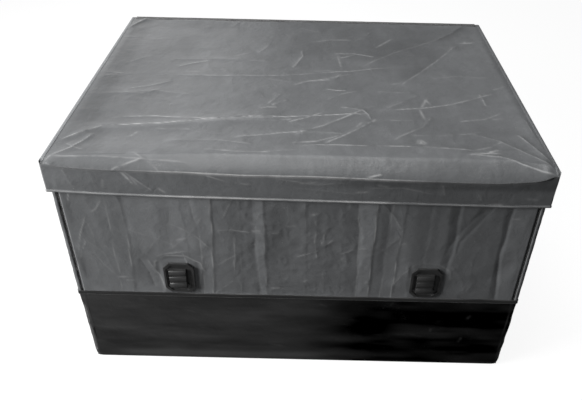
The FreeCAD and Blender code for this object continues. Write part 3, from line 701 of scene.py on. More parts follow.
def crease_lid(sheet):
    top = np.zeros(sheet.rise.shape)
    top[: sheet.first_skirt_row] = 1.0
    skirt = 1 - top
    x, y = sheet.points[..., 0], sheet.points[..., 1]
    # between the battens the cloth hangs a little, in shallow swells and fine crumples
    depth = LID_BACK - LID_FRONT - FRONT_BATTEN
    inside = ease((LID_X - np.abs(x)) / 0.12) * ease((LID_BACK - y) / 0.1)
    inside *= ease((y - LID_FRONT - FRONT_BATTEN) / 0.12)
    edge = ease((LID_X - np.abs(x)) / 0.03) * ease((LID_BACK - y) / 0.03)
    corner, across, down = (-LID_X, LID_BACK, LID_TOP), (2 * LID_X, 0, 0), (0, -depth, 0)
    settled = settled_cloth(corner, across, down, spare=0.006, cell=14 * MM, seed=30)
    hang = blurred(settled, 30)
    pull = settled - hang
    u, v = (x + LID_X) / (2 * LID_X), (LID_BACK - y) / depth
    sheet.settle(hang, u, v, 60, 0.11, top)
    sheet.settle(pull, u, v, 5, 0.8, top * edge)
    sheet.rise += top * edge * inside * 2.2 * MM * swell(sheet.points, (0.19, 0.12, 1), 31)
    sheet.crumple(0.9, 0.085, 33, where=edge * (0.4 + 0.6 * top))
    sheet.crumple(0.28, 0.022, 37, where=edge)
    for line, height, width, wear, lean in LID_FOLDS:
        sheet.crease(line, 1.5 * height, width, 1.6 * wear, thin=1.6, only=top * edge, lean=lean)
    each(sheet.crease, SKIRT_FOLDS, axes=(0, 2), only=skirt)
    sheet.small_folds(46, 45, (0, 1), 1.3, 0.7, 20, top * edge)
    each(sheet.scuff, LID_SCUFFS, only=top)
    each(sheet.scuff, SKIRT_SCUFFS, axes=(0, 2), only=skirt)
    # a pale line painted along the fold over the front edge, most of all in the middle: partly rubbed wear,
    # partly a painted highlight
    row = sheet.first_skirt_row - 1
    along = sheet.points[row, :, 0]
    glow = window(along, -0.30, 0.20, 0.14) * 0.85 + 0.2
    glow = glow * ease(0.85 + 0.6 * swell(sheet.points[row], 0.04, 41))
    rows = np.arange(sheet.rise.shape[0])[:, None]
    sheet.rub(glow * bell(rows - row, 1.6))
    # the hem's rolled edge is paler too, most of all in the middle
    hem = sheet.hem_row + RUBBED_ROW
    middle = window(along, -0.30, 0.16, 0.12)
    rub = 0.4 + 0.35 * swell(sheet.points[hem], 0.05, 42) + 0.45 * middle
    reach = 1.6 + 1.4 * middle * ease(0.6 + swell(sheet.points[hem], 0.03, 43))
    sheet.rub(np.clip(rub, 0, 1) * bell(rows - hem, reach))
    sheet.rise -= 0.5 * MM * bell(rows - sheet.hem_row, 0.8)
    shade_lid(sheet, top)


def shade_lid(sheet, top):
    """Painted light and shade on the top and front skirt: painted shade on the rounded edge and the skirt
    below it, on the flanks of the long folds, and in patches.
    """
    skirt = 1 - top
    x, y, z = (sheet.points[..., k] for k in range(3))
    sunk = LID_TOP - z
    # painted shade on the rounded edge, less towards the right
    nose = (0.13 + 0.13 * ease((sunk - 4 * MM) / (24 * MM))) * ease(sunk / (4 * MM))
    sheet.tone -= top * nose * (1 - 0.6 * ease(x / 0.3))
    # a lighter strip a little behind the front edge
    sheet.tone += 0.10 * top * window(y, -0.425, -0.376, 0.006) * ease((x + 0.15) / 0.2)
    # painted shadow on the skirt just under the rounded edge, and painted shade over the skirt's right half
    sheet.tone -= skirt * ease(x / 0.25) * (0.10 + 0.26 * window(z, 0.662, 0.70, 0.016))
    # painted shade on the flanks of the long folds, and painted light on one flank of the inner fold
    sheet.flank(INNER_FOLD, -0.34, 34, only=top)
    sheet.flank(INNER_FOLD, 0.16, 50, left=True, only=top)
    sheet.flank(BACK_FOLD, -0.24, 60, only=top)
    sheet.flank(BACK_FOLD[:3], -0.36, 20, left=True, only=top)
    # patches of painted light and shade
    each(sheet.patch, LID_PATCHES, only=top)


# patches of painted light and shade on the top: tone, then from, to and softness along x and along y
LID_PATCHES = (
    (0.10, (0.44, 0.60, 0.08), (-0.2, 0.44, 0.1)),
    (-0.10, (-0.02, 0.38, 0.12), (0.22, 0.46, 0.12)),
    (-0.09, (-0.56, -0.40, 0.09), (-0.22, 0.2, 0.12)),
    (-0.12, (-0.60, -0.5, 0.03), (-0.41, -0.33, 0.04)),
    (-0.16, (-0.59, -0.55, 0.035), (-0.26, 0.42, 0.08)),
)
# the two long folds that run in from the back right corner
BACK_FOLD = ((558, 444), (495, 360), (425, 294), (287, 196), (173, 89))
INNER_FOLD = ((501, 272), (472, 225), (411, 136), (350, 53), (278, -36))
# each fold on the top: its line, height, how far it takes to settle, wear, and how that differs in front
LID_FOLDS = (
    (((-606, -385), (-510, -300), (-360, -278), (-200, -242), (-40, -225)), 4.0, 26, 0.55, 0.45),
    (((-520, -250), (-400, -240), (-250, -250), (30, -220), (200, -200)), 1.3, 16, 0.5, 0.6),
    (((-389, 14), (-237, 12), (-54, 25), (43, 46), (142, 60), (297, 101)), 1.8, 22, 0.3, 0.5),
    (((-430, 120), (-250, 135), (-90, 118)), 1.0, 18, 0.12, 0.7),
    (((-608, -468), (-550, -410), (-515, -330)), 2.4, 14, 0.35, 0.8),
    (((-600, -448), (-490, -440), (-400, -441), (-250, -447)), 1.4, 12, 0.16, 0.6),
    (((-180, -340), (-50, -312), (30, -300), (120, -312)), 1.5, 14, 0.35, 0.6),
    (BACK_FOLD, 3.6, 26, 0.16, 0.6),
    (INNER_FOLD, 3.6, 20, 0.22, 0.6),
    (((197, -183), (325, -163), (413, -136), (553, -67)), 1.6, 18, 0.35, 0.7),
    (((-31, -39), (18, -6), (89, 4), (116, 46)), 1.4, 10, 0.35, 0.6),
    (((-9, 210), (-5, 163), (-35, 74)), 1.2, 12, 0.25, 0.7),
    (((210, -69), (269, -71), (315, -69)), 1.0, 10, 0.2, 0.8),
    (((229, -168), (291, -118), (330, -80)), 1.2, 10, 0.2, 0.8),
    (((-506, -108), (-448, -110), (-397, -76)), 1.0, 12, 0.15, 0.7),
    (((-20, -320), (60, -270), (110, -230), (180, -170)), 1.9, 12, 0.4, 0.6),
    (((60, -360), (130, -300), (190, -240)), 1.9, 12, 0.45, 0.6),
    (((102, -164), (132, -172), (166, -188), (178, -210), (182, -235)), 1.4, 7, 0.5, 0.8),
    (((230, -335), (320, -262), (350, -205)), 1.4, 10, 0.25, 0.8),
    (((608, -466), (580, -380), (548, -290)), 2.6, 14, 0.35, 0.6),
    (((608, -466), (545, -440), (480, -412), (400, -395)), 2.2, 10, 0.45, 0.7),
    (((608, -466), (560, -405), (500, -330), (430, -290)), 1.8, 14, 0.2, 0.8),
    (((606, -450), (594, -330), (590, -200)), 1.6, 10, 0.2, 1.0),
    (((-20, -372), (180, -368), (350, -371), (440, -380)), 1.7, 12, 0.45, 1.6),
    (((-240, -402), (-90, -412), (0, -392)), 1.5, 10, 0.3, 1.0),
    (((-606, 330), (-575, 400), (-545, 448)), 3.4, 12, 0.5, 0.5),
    (((-340, -360), (-210, -352), (-110, -372)), 1.0, 9, 0.2, 0.8),
    (((380, 20), (470, 40), (560, 28)), 1.0, 14, 0.12, 1.0),
    (((-560, -120), (-420, -90), (-300, -110)), 1.1, 20, 0.12, 0.8),
)
# short pale marks on the top: x, y, length, angle and strength
LID_SCUFFS = (
    (300, -340, 26, 80, 0.5),
    (336, -133, 54, 69, 0.5),
    (348, -122, 34, 110, 0.3),
    (323, -195, 52, 97, 0.4),
    (535, 290, 46, 3, 0.5),
    (530, 294, 20, 70, 0.4),
    (260, 276, 82, 50, 0.4),
    (110, 128, 84, 96, 0.3),
    (-198, 169, 44, 31, 0.3),
    (470, -380, 34, 25, 0.8),
    (452, -391, 62, 3, 0.7),
    (293, -338, 24, 72, 0.35),
    (306, -338, 24, 112, 0.35),
    (300, -350, 26, 3, 0.4),
    (190, -238, 20, 60, 0.5),
    (-40, -242, 24, 10, 0.45),
    (20, -352, 46, 8, 0.55),
    (-150, -330, 30, 30, 0.3),
    (150, -262, 30, 60, 0.3),
    (-330, 40, 36, 5, 0.25),
    (60, 60, 50, 4, 0.25),
    (270, -15, 28, 15, 0.25),
    (-420, -330, 30, 62, 0.3),
    (520, -215, 30, 10, 0.2),
)
SKIRT_FOLDS = (
    (((-560, 690), (-545, 640)), 0.8, 7, 0.15),
    (((-420, 690), (-375, 650), (-350, 628)), 0.9, 8, 0.3),
    (((-230, 684), (-170, 662), (-110, 655)), 1.1, 8, 0.35),
    (((-60, 676), (40, 660), (120, 668)), 1.0, 9, 0.2),
    (((-20, 650), (60, 642), (150, 632)), 0.9, 8, 0.1),
    (((160, 652), (250, 655), (330, 640)), 0.9, 9, 0.12),
    (((340, 668), (350, 636)), 0.7, 6, 0.2),
    (((250, 660), (420, 664), (560, 672)), 1.2, 10, 0.0),
    (((430, 640), (440, 620)), 0.6, 6, 0.25),
)
SKIRT_SCUFFS = (
    (-410, 668, 40, -55, 0.45),
    (-395, 660, 26, -60, 0.3),
    (-330, 632, 20, -40, 0.3),
    (150, 640, 30, 8, 0.35),
    (200, 660, 24, -10, 0.2),
    (-470, 650, 24, 80, 0.2),
    (480, 612, 40, 2, 0.4),
    (560, 630, 26, -5, 0.2),
    (20, 664, 44, 5, 0.3),
)


def lid_side(side):
    """A side skirt: it leaves the top along a sewn edge, flares a little and ends in the same hem."""
    ys = spread(LID_FRONT, SKIRT_BACK, 5 * MM)
    hem = LID_HEM[0][1] if side < 0 else LID_HEM[-1][1]
    hems = np.interp(ys, (LID_FRONT, 0, SKIRT_BACK), (hem * MM, SKIRT_LOW - 1 * MM, SKIRT_LOW + 3 * MM))
    hang = np.linspace(0, 1, SIDE_SKIRT_ROWS)[:, None]
    zs = LID_TOP - (LID_TOP - hems - HEM_TALL) * hang
    free = ease((ys - LID_FRONT) / 0.12)
    wave = swell(np.stack(np.broadcast_arrays(0 * ys, ys, 0 * ys), axis=-1), 0.13, 51 + side)
    flare = free * hang * (2.6 + 1.8 * wave) * MM
    roll_out, roll_z = hem_roll(hems)
    out = np.concatenate([flare, flare[-1] + roll_out])
    zs = np.concatenate([zs, roll_z])
    points = np.stack([side * (LID_X + out), np.broadcast_to(ys, zs.shape), zs], axis=-1)
    if side < 0:
        points = points[:, ::-1]
    sheet = Sheet(points)
    y, z = sheet.points[..., 1], sheet.points[..., 2]
    clear = ease((y - LID_FRONT) / 0.03) * ease((LID_TOP - z) / 0.02)
    sheet.crumple(1.1, 0.06, 53, 0, clear)
    sheet.crumple(0.4, 0.018, 57, 0, clear)
    each(sheet.crease, SIDE_SKIRT_FOLDS, axes=(1, 2), only=clear)
    rows = np.arange(points.shape[0])[:, None]
    sheet.hem_row = SIDE_SKIRT_ROWS
    hem = sheet.hem_row + RUBBED_ROW
    rub = np.clip(0.3 + 0.4 * swell(points[hem], 0.06, 59), 0, 1)
    sheet.rub(rub * bell(rows - hem, 1.3))
    return sheet


SIDE_SKIRT_FOLDS = (
    (((-430, 700), (-380, 650), (-350, 625)), 1.6, 12, 0.3),
    (((-250, 704), (-215, 660), (-205, 622)), 1.8, 14, 0.2),
    (((-60, 640), (40, 655), (150, 640)), 1.2, 12, 0.2),
    (((90, 705), (120, 660), (118, 625)), 1.8, 14, 0.3),
    (((280, 700), (330, 655), (420, 630)), 1.8, 14, 0.3),
)


TAPE_SECTION = (
    (-0.5, 0.0), (-0.5, 0.6), (-0.44, 1.0), (-0.2, 1.05), (0.2, 1.05), (0.44, 1.0), (0.5, 0.6), (0.5, 0.0),
)  # shares of the width and of the thickness


def tape_path(points, outs, width, thickness, name, material, body):
    """A flat sewn tape with rounded edges along a path; outs point off the cloth that it lies on."""
    points = np.asarray(points, float)
    outs = np.asarray(outs, float)
    run = np.gradient(points, axis=0)
    run /= np.linalg.norm(run, axis=1, keepdims=True)
    across = np.cross(run, outs)
    across /= np.linalg.norm(across, axis=1, keepdims=True)
    corners = np.array(TAPE_SECTION)
    width = np.broadcast_to(width, len(points))[:, None, None]
    rings = points[:, None] + across[:, None] * corners[None, :, :1] * width
    rings = rings + outs[:, None] * corners[None, :, 1:] * thickness
    count = len(corners)
    last = (len(points) - 1) * count
    caps = np.stack([np.arange(count), np.arange(last, last + count)[::-1]])
    thing = mesh_object(name, rings.reshape(-1, 3), grid_faces(len(points), count, wrap=True), caps)
    thing.data.materials.append(material)
    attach(thing, body)
    return thing


def capsule(stations, radii, depth, sides=6):
    """A small rounded bar along its own X, as vertices and faces."""
    turns = np.arange(sides) / sides * 2 * math.pi
    ring = np.stack([np.cos(turns), depth * np.sin(turns)], axis=-1)
    rings = [np.column_stack([np.full(sides, x), radius * ring]) for x, radius in zip(stations, radii)]
    last = (len(stations) - 1) * sides
    caps = np.stack([np.arange(sides)[::-1], np.arange(last, last + sides)])
    return np.concatenate(rings), grid_faces(len(stations), sides, wrap=True)[:, ::-1], caps


def scatter(name, shape, places, along, out, material, body):
    """Copies of one small shape, its X along and its Z out at each place, in one object."""
    vertices, *groups = shape
    along = along / np.linalg.norm(along, axis=-1, keepdims=True)
    side = np.cross(out, along)
    side /= np.linalg.norm(side, axis=-1, keepdims=True)
    out = np.cross(along, side)
    axes = np.stack([along, side, out], axis=1)
    placed = places[:, None] + np.einsum("vk,nkj->nvj", vertices, axes)
    starts = np.arange(len(places)) * len(vertices)
    copies = [(group[None] + starts[:, None, None]).reshape(-1, group.shape[1]) for group in groups]
    thing = mesh_object(name, placed.reshape(-1, 3), *copies)
    thing.data.materials.append(material)
    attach(thing, body)
    return thing


STITCH = capsule(np.array((-1.7, -1.2, 1.2, 1.7)) * MM, np.array((0.18, 0.42, 0.42, 0.18)) * MM, 0.8)
STITCH_PITCH = 4.6 * MM


def resample(points, pitch):
    """The fractional indices of evenly spaced places along a path."""
    steps = np.linalg.norm(np.diff(points, axis=0), axis=1)
    travelled = np.concatenate([[0], np.cumsum(steps)])
    wanted = np.arange(pitch / 2, travelled[-1], pitch)
    return np.interp(wanted, travelled, np.arange(len(points)))


def stitch_rows(name, rows, body, slot, material=THREAD):
    """Rows of stitches; each row is its points and the directions off the cloth."""
    places, runs, outs = [], [], []
    for points, normals in rows:
        index = resample(points, STITCH_PITCH)
        places.append(along_row(points, index))
        runs.append(along_row(np.gradient(points, axis=0), index))
        outs.append(along_row(normals, index))
    places, runs, outs = (np.concatenate(group) for group in (places, runs, outs))
    stand_in(scatter(name, STITCH, places, runs, outs, material, body), slot)


def along_row(values, index):
    """Values read between neighbours at fractional indices."""
    base = np.clip(index.astype(int), 0, len(values) - 2)
    part = (index - base)[:, None]
    return values[base] * (1 - part) + values[base + 1] * part


def sheet_row(sheet, row, lift=0.1 * MM):
    """A row of a sheet as a stitching line."""
    points = sheet.shaped()
    normals = sheet.normals(points)
    return points[row] + normals[row] * lift, normals[row]


def build_lid():
    """The lid's cover with its hem stitching, and the sewn edge at either side of its top."""
    top = lid_top()
    crease_lid(top)
    sides = [lid_side(side) for side in (-1, 1)]
    cover = fabric_object("lid_cover", [top, *sides], (SHELL, LINING), "lid")
    skirts = ("lid_skirt_front", "lid_skirt_left", "lid_skirt_right", "skirt_hem")
    stand_in(cover, "shell_fabric", "lid_panel", *skirts)
    rows = [sheet_row(sheet, sheet.hem_row - 1) for sheet in (top, *sides)]
    stitch_rows("lid_hem_stitching", rows, "lid", "shell_fabric")
    points = top.shaped()
    normals = top.normals(points)
    for name, column, inner in (("left", 1, 2), ("right", -2, -3)):
        span = slice(2, top.first_skirt_row - 4)
        path = (points[span, column] + points[span, inner]) / 2
        out = normals[span, column] * (1, 0.3, 1)
        out = out / np.linalg.norm(out, axis=1, keepdims=True)
        narrow = 2 * MM + 6 * MM * ease(np.arange(len(path))[::-1] / 14)
        # the left seam is painted lighter because light falls on it from the left; the right keeps the plain
        # fabric
        edging = PAINTED_LIT_SHELL if name == "left" else SHELL
        seam = tape_path(path, out, narrow, 1.1 * MM, f"lid_edge_seam_{name}", edging, "lid")
        stand_in(seam, "shell_fabric")
        stitch_rows(f"lid_edge_stitching_{name}", [(path + out * 1.25 * MM, out)], "lid", "shell_fabric")


# ---------------------------------------------------------------- walls
def plan_path(corners, radius, step):
    """A path through corners in plan, each inner corner rounded, in even steps."""
    corners = [np.array(corner, float) for corner in corners]
    path = [corners[0]]
    for before, here, after in zip(corners, corners[1:], corners[2:]):
        enter = here + (before - here) / np.linalg.norm(before - here) * radius
        leave = here + (after - here) / np.linalg.norm(after - here) * radius
        path.extend(straight(path[-1], enter, step))
        for share in np.linspace(0, 1, 8)[1:]:
            path.append((1 - share) ** 2 * enter + 2 * share * (1 - share) * here + share**2 * leave)
    path.extend(straight(path[-1], corners[-1], step))
    return np.array(path)


def straight(start, end, step):
    """Places from start, which is left out, to end."""
    count = max(2, int(np.linalg.norm(end - start) / step) + 1)
    return [start + (end - start) * share for share in np.linspace(0, 1, count)[1:]]


def wall_sheet(path, bottom, top, step):
    """An upright sheet over a path in plan, its first row at the top."""
    zs = spread(top, bottom, step)
    xy = np.broadcast_to(path, (len(zs), *path.shape))
    points = np.concatenate([xy, np.broadcast_to(zs[:, None, None], (len(zs), len(path), 1))], axis=-1)
    return Sheet(points)


def loop_plates():
    """Each lash loop's centre on its wall, with half the width and height of its plate."""
    least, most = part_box("side_lash_loops")
    half = (most.y - least.y) / 2
    tall = (most.z - least.z) / 2
    middle = least.z + tall
    plates = [(Vector((side * WALL_X, 0, middle)), half, tall) for side in (-1, 1)]
    for node, wall in (("front_lash_loops", -WALL_Y), ("back_lash_loops", WALL_Y)):
        for x in (low(node).x + half, high(node).x - half):
            plates.append((Vector((x, wall, middle)), half, tall))
    return plates


def around_loops(sheet):
    """1 on open cloth, 0 where a lash loop's plate is screwed flat against it."""
    free = np.ones(sheet.rise.shape)
    for centre, half, tall in loop_plates():
        off = sheet.points - np.array(centre)
        reach = np.maximum(np.hypot(off[..., 0], off[..., 1]) / half, np.abs(off[..., 2]) / tall)
        free *= ease((reach - 1.02) / 0.3)
    return free


def pleat(sheet, left, right, height, wear, tone, low_z=0.276, high_z=0.607):
    """A strip of cloth between two upright folds, each an x at the top, middle and bottom of the wall, in
    millimetres. The strip leans out towards its right fold and falls back sharply after it; its tone is
    painted light where it faces the lamp and painted shade where it turns away."""
    x, z = sheet.points[..., 0], sheet.points[..., 2]
    heights = (low_z, (low_z + high_z) / 2, high_z)
    jog = swell(sheet.points, (1, 1, 0.07), 61) * 5 * MM
    jog += swell(sheet.points, (1, 1, 0.02), 62) * 1.5 * MM
    depth = 0.8 + 0.45 * swell(sheet.points, (0.4, 1, 0.12), 64)
    starts = np.interp(z, heights, np.array(left[::-1]) * MM) + jog
    ends = np.interp(z, heights, np.array(right[::-1]) * MM) + jog * 0.7
    share = (x - starts) / (ends - starts)
    past = ease((x - ends) / (11 * MM) + 0.2)
    within = window(z, low_z - 0.02, high_z + 0.06, 0.03)
    sheet.rise += height * MM * depth * within * np.clip(share, 0, 1) ** 1.3 * (1 - past)
    strip = within * ease((x - starts) / (4 * MM) + 0.5) * (1 - ease((x - ends) / (4 * MM) + 0.5))
    # the strip's tone: painted light, and painted shade where the tone is negative
    sheet.tone += tone * strip * np.clip(depth, 0, 1)
    patchy = ease(0.6 + 0.8 * swell(sheet.points, 0.03, 63))
    for edge, share_of in ((starts, 0.45), (ends, 1.0)):
        sheet.rub(wear * share_of * patchy * bell(x - edge, 1.5 * MM))


# the packing folds of the front wall: left fold, right fold, height, wear and tone; the tone is painted light
# on strips that face the lamp and painted shade on those that turn away
PLEATS = (
    ((-480, -480, -482), (-445, -440, -450), 1.1, 0.40, 0.02),
    ((-330, -322, -318), (-300, -290, -285), 0.6, 0.08, 0.0),
    ((-270, -254, -255), (-221, -225, -231), 1.8, 0.60, 0.28),
    ((-180, -172, -172), (-150, -152, -155), 0.8, 0.10, -0.06),
    ((-116, -114, -102), (-90, -90, -86), 1.6, 0.35, 0.36),
    ((-30, -24, -20), (14, 16, 18), 0.9, 0.10, 0.04),
    ((80, 78, 76), (110, 108, 106), 0.6, 0.06, -0.03),
    ((146, 153, 158), (194, 189, 190), 2.0, 0.60, 0.36),
    ((232, 228, 224), (265, 256, 254), 1.4, 0.60, 0.05),
    ((530, 520, 540), (582, 582, 582), 2.2, 0.12, 0.34),
)
# sunken folds that stay in shade: left edge, right edge, height, tone, and the heights it runs between
SHADED = (
    ((372, 378, 352), (398, 398, 372), -2.0, -0.24, 0.276, 0.607),
    ((508, 512, 520), (528, 522, 540), -2.0, -0.26, 0.276, 0.607),
    ((292, 288, 300), (330, 326, 330), -0.9, -0.08, 0.276, 0.607),
    ((-135, -133, -122), (-114, -111, -98), -1.4, -0.16, 0.276, 0.400),
    ((112, 118, 128), (148, 156, 163), -1.0, -0.14, 0.276, 0.607),
    ((206, 206, 206), (226, 224, 222), -0.6, -0.12, 0.400, 0.607),
    ((448, 428, 405), (486, 452, 410), -1.4, -0.22, 0.480, 0.607),
)
FRONT_FOLDS = (
    (((-420, 405), (-398, 350), (-388, 290)), -1.4, 6, 0.1),
    (((-400, 398), (-372, 345), (-360, 285)), 1.2, 7, 0.35),
    (((-385, 340), (-380, 388), (-350, 410), (-298, 411), (-260, 388), (-248, 346)), 1.4, 9, 0.40),
    (((-392, 400), (-352, 416), (-290, 428), (-240, 402)), 1.2, 9, 0.35),
    (((-250, 420), (-262, 350), (-268, 290)), 1.0, 8, 0.25),
    (((-440, 500), (-360, 470), (-300, 430)), 1.1, 18, 0.08),
    (((-330, 520), (-270, 490), (-230, 440)), 1.2, 14, 0.25),
    (((-560, 470), (-510, 420), (-480, 300)), 0.8, 20, 0.08),
    (((-210, 500), (-170, 504), (-120, 496)), 1.0, 8, 0.35),
    (((-120, 500), (-90, 492), (-40, 498)), 1.0, 9, 0.3),
    (((470, 596), (430, 545), (402, 495), (376, 420)), -1.8, 12, 0.0),
    (((285, 400), (300, 345), (290, 290)), 1.1, 9, 0.1),
    (((292, 346), (300, 390), (328, 406), (372, 402), (402, 380), (410, 336)), 1.3, 9, 0.15),
    (((404, 400), (440, 340), (452, 290)), 1.0, 10, 0.08),
    (((200, 600), (236, 560), (262, 515)), 1.2, 9, 0.2),
    (((262, 500), (240, 470), (214, 440)), 1.0, 9, 0.15),
    (((470, 480), (452, 420), (462, 300)), 0.9, 14, 0.08),
)
# patches of painted light and shade: tone, then from, to and softness along x and up
FRONT_PATCHES = (
    (0.26, (-0.42, -0.27, 0.03), (0.46, 1, 0.06)),
    (0.06, (-0.215, -0.12, 0.02), (0, 1, 1)),
    (-0.12, (-0.425, -0.385, 0.02), (0.33, 0.47, 0.03)),
)
FRONT_SCUFFS = (
    (-110, 502, 22, 8, 0.4),
    (-470, 330, 30, 4, 0.3),
    (-455, 318, 22, 0, 0.25),
    (40, 560, 20, 20, 0.35),
    (60, 470, 16, 75, 0.35),
    (112, 410, 14, 60, 0.3),
    (20, 330, 14, 40, 0.3),
    (-20, 520, 22, 5, 0.25),
    (182, 330, 12, 60, 0.4),
    (540, 560, 22, 2, 0.25),
    (270, 470, 18, 30, 0.2),
    (-300, 470, 40, 20, 0.3),
    (-60, 300, 26, 2, 0.25),
)


ZIP_LAP = 1.8 * MM  # how far the cloth's edges lie over the zip's tapes
BAND_LAP = 5 * MM  # how far the walls reach down behind the band


def build_front():
    """The front wall in one cloth, creased where it was packed."""
    xs = spread(-DOOR_X - ZIP_LAP, DOOR_X + ZIP_LAP, 3 * MM)
    path = np.stack([xs, np.full(len(xs), -WALL_Y)], axis=-1)
    sheet = wall_sheet(path, BAND_TOP - BAND_LAP, DOOR_TOP, 3 * MM)
    x, z = sheet.points[..., 0], sheet.points[..., 2]
    # each pleat's tone paints light or shade on its strip
    for left, right, height, wear, tone in PLEATS:
        pleat(sheet, left, right, height, wear, tone)
    for left, right, height, tone, lower, upper in SHADED:
        pleat(sheet, left, right, height, 0.0, tone, lower, upper)
    each(sheet.crease, FRONT_FOLDS, axes=(0, 2))
    sheet.small_folds(34, 65, (0, 2), 0.8, 0.6, 60)
    each(sheet.scuff, FRONT_SCUFFS, axes=(0, 2))
    busy = window(x, -0.13, 0.14, 0.1)
    sheet.crumple(1, 0.05, 71, 0.45, 0.5 + 0.8 * busy)
    sheet.crumple(1, 0.019, 75, 0.45, 0.2 + 0.45 * busy)
    tall = SKIRT_COVER - BAND_TOP
    corner, across = (-DOOR_X, -WALL_Y, SKIRT_COVER), (2 * DOOR_X, 0, 0)
    settled = settled_cloth(corner, across, (0, 0, -tall), spare=0.008, cell=11 * MM, seed=70)
    sheet.settle(settled, (x + DOOR_X) / (2 * DOOR_X), (SKIRT_COVER - z) / tall, 5, 0.45, passes=6)
    sheet.rise -= 1.2 * MM
    sheet.rise = np.clip(sheet.rise, -9 * MM, 4.5 * MM)
    # held flat at the zips, at the band, under the skirt's tape and under the loops
    held = ease((DOOR_X - np.abs(x)) / 0.02) * ease((z - BAND_TOP + 0.003) / 0.007) * around_loops(sheet)
    sheet.rise *= held
    # patches of painted light and shade
    each(sheet.patch, FRONT_PATCHES, axes=(0, 2))
    tucked = ease((z - SKIRT_COVER) / 0.02)
    sheet.rise = sheet.rise * (1 - tucked) + np.minimum(sheet.rise, 0) * 0.4 * tucked
    cover = fabric_object("front_cover", [sheet], (SHELL, LINING))
    stand_in(cover, "shell_fabric", "sill_panel", "door_panel")
    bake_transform(cover)


def crumple_wall(sheet, folds, axes, height, size, count, seed):
    """A plain wall's facets, its own folds and a count of short random ones, pressed a little inwards."""
    sheet.crumple(height, size, seed)
    sheet.crumple(0.5, 0.022, seed + 4)
    each(sheet.crease, folds, axes=axes)
    sheet.small_folds(count, seed + 2, axes, 1.4, 0.6, 60)
    sheet.rise -= 1.5 * MM


def build_side(name, side):
    """A side wall with the strip that it wraps round each corner; the strip is the most crumpled part."""
    corners = [(RETURN_X - ZIP_LAP, -WALL_Y), (WALL_X, -WALL_Y), (WALL_X, WALL_Y), (RETURN_X, WALL_Y)]
    if side < 0:
        corners = [(-x, y) for x, y in reversed(corners)]
    sheet = wall_sheet(plan_path(corners, 7 * MM, 4.5 * MM), BAND_TOP - BAND_LAP, WALL_TOP, 4.5 * MM)
    y, z = sheet.points[..., 1], sheet.points[..., 2]
    tall = SKIRT_COVER - BAND_TOP
    corner, across = (side * WALL_X, -side * WALL_Y, SKIRT_COVER), (0, 2 * WALL_Y * side, 0)
    settled = settled_cloth(corner, across, (0, 0, -tall), spare=0.006, cell=13 * MM, seed=81 + side)
    sheet.settle(settled, 0.5 + side * y / (2 * WALL_Y), (SKIRT_COVER - z) / tall, 6, 0.8)
    crumple_wall(sheet, SIDE_FOLDS, (1, 2), 1.3, 0.075, 30, 83 + side)
    wrapped = ease((np.abs(y) - WALL_Y + 0.03) / 0.03)
    sheet.rise *= 1 - wrapped
    sheet.crumple(0.9, 0.02, 91 + side, 0.7, wrapped)
    # the wrapped strip: a little lighter with random tone, and painted shade on the right side's strip
    sheet.tone += wrapped * (0.25 * swell(sheet.points, 0.015, 95) + 0.1 - 0.35 * (side > 0))
    held = ease((z - BAND_TOP + 0.003) / 0.008) * around_loops(sheet)
    sheet.rise *= held * (1 - 0.85 * ease((z - 0.60) / 0.02))
    sheet.rise = np.where(z > 0.6, np.minimum(sheet.rise, 0), sheet.rise)
    cover = fabric_object(f"side_cover_{name}", [sheet], (SHELL, LINING), "tub")
    stand_in(cover, "shell_fabric", f"side_panel_{name}")


SIDE_FOLDS = (
    (((-330, 610), (-325, 450), (-335, 285)), 2.6, 16, 0.3),
    (((-160, 610), (-150, 450), (-158, 285)), 2.2, 16, 0.25),
    (((130, 610), (138, 450), (132, 285)), 2.6, 18, 0.3),
    (((310, 610), (300, 450), (306, 285)), 2.2, 16, 0.25),
    (((-440, 470), (-200, 462), (60, 468), (430, 455)), 1.6, 18, 0.25),
    (((-70, 410), (0, 425), (70, 408)), 1.6, 9, 0.2),
    (((-420, 580), (-360, 520), (-330, 440)), 1.4, 12, 0.1),
    (((330, 560), (390, 500), (420, 380)), 1.4, 12, 0.1),
)


def build_back():
    """The back wall, up to the lid's sewn hinge."""
    xs = spread(RETURN_X, -RETURN_X, 5 * MM)
    path = np.stack([xs, np.full(len(xs), WALL_Y)], axis=-1)
    sheet = wall_sheet(path, BAND_TOP - BAND_LAP, BACK_TOP, 5 * MM)
    x, z = sheet.points[..., 0], sheet.points[..., 2]
    bound = BACK_TOP - 20 * MM
    tall = bound - BAND_TOP
    wide = 2 * RETURN_X
    corner, across = (RETURN_X, WALL_Y, bound), (-wide, 0, 0)
    settled = settled_cloth(corner, across, (0, 0, -tall), spare=0.006, cell=13 * MM, seed=101)
    sheet.settle(settled, (RETURN_X - x) / wide, (bound - z) / tall, 6, 0.8)
    crumple_wall(sheet, BACK_FOLDS, (0, 2), 1.4, 0.08, 36, 103)
    held = ease((z - BAND_TOP + 0.003) / 0.008) * ease((bound - 2 * MM - z) / 0.03)
    sheet.rise *= held * around_loops(sheet) * ease((RETURN_X - np.abs(x)) / 0.02)
    cover = fabric_object("back_cover", [sheet], (SHELL, LINING), "tub")
    stand_in(cover, "shell_fabric", "back_panel")


BACK_FOLDS = (
    (((-450, 680), (-446, 480), (-452, 285)), 2.6, 18, 0.3),
    (((-210, 680), (-216, 480), (-208, 285)), 2.4, 18, 0.3),
    (((60, 680), (52, 480), (58, 285)), 2.2, 18, 0.25),
    (((250, 680), (256, 480), (248, 285)), 2.6, 18, 0.3),
    (((480, 680), (476, 480), (482, 285)), 2.2, 18, 0.25),
    (((-580, 500), (-200, 508), (200, 498), (580, 506)), 1.6, 20, 0.25),
    (((-400, 410), (-333, 425), (-266, 408)), 1.6, 9, 0.2),
    (((266, 408), (333, 425), (400, 410)), 1.6, 9, 0.2),
)


# ---------------------------------------------------------------- base
EDGE_RADIUS = 11 * MM  # the soft bottom edge
RIM_DEEP = 60 * MM  # how far the floor's rim turns in


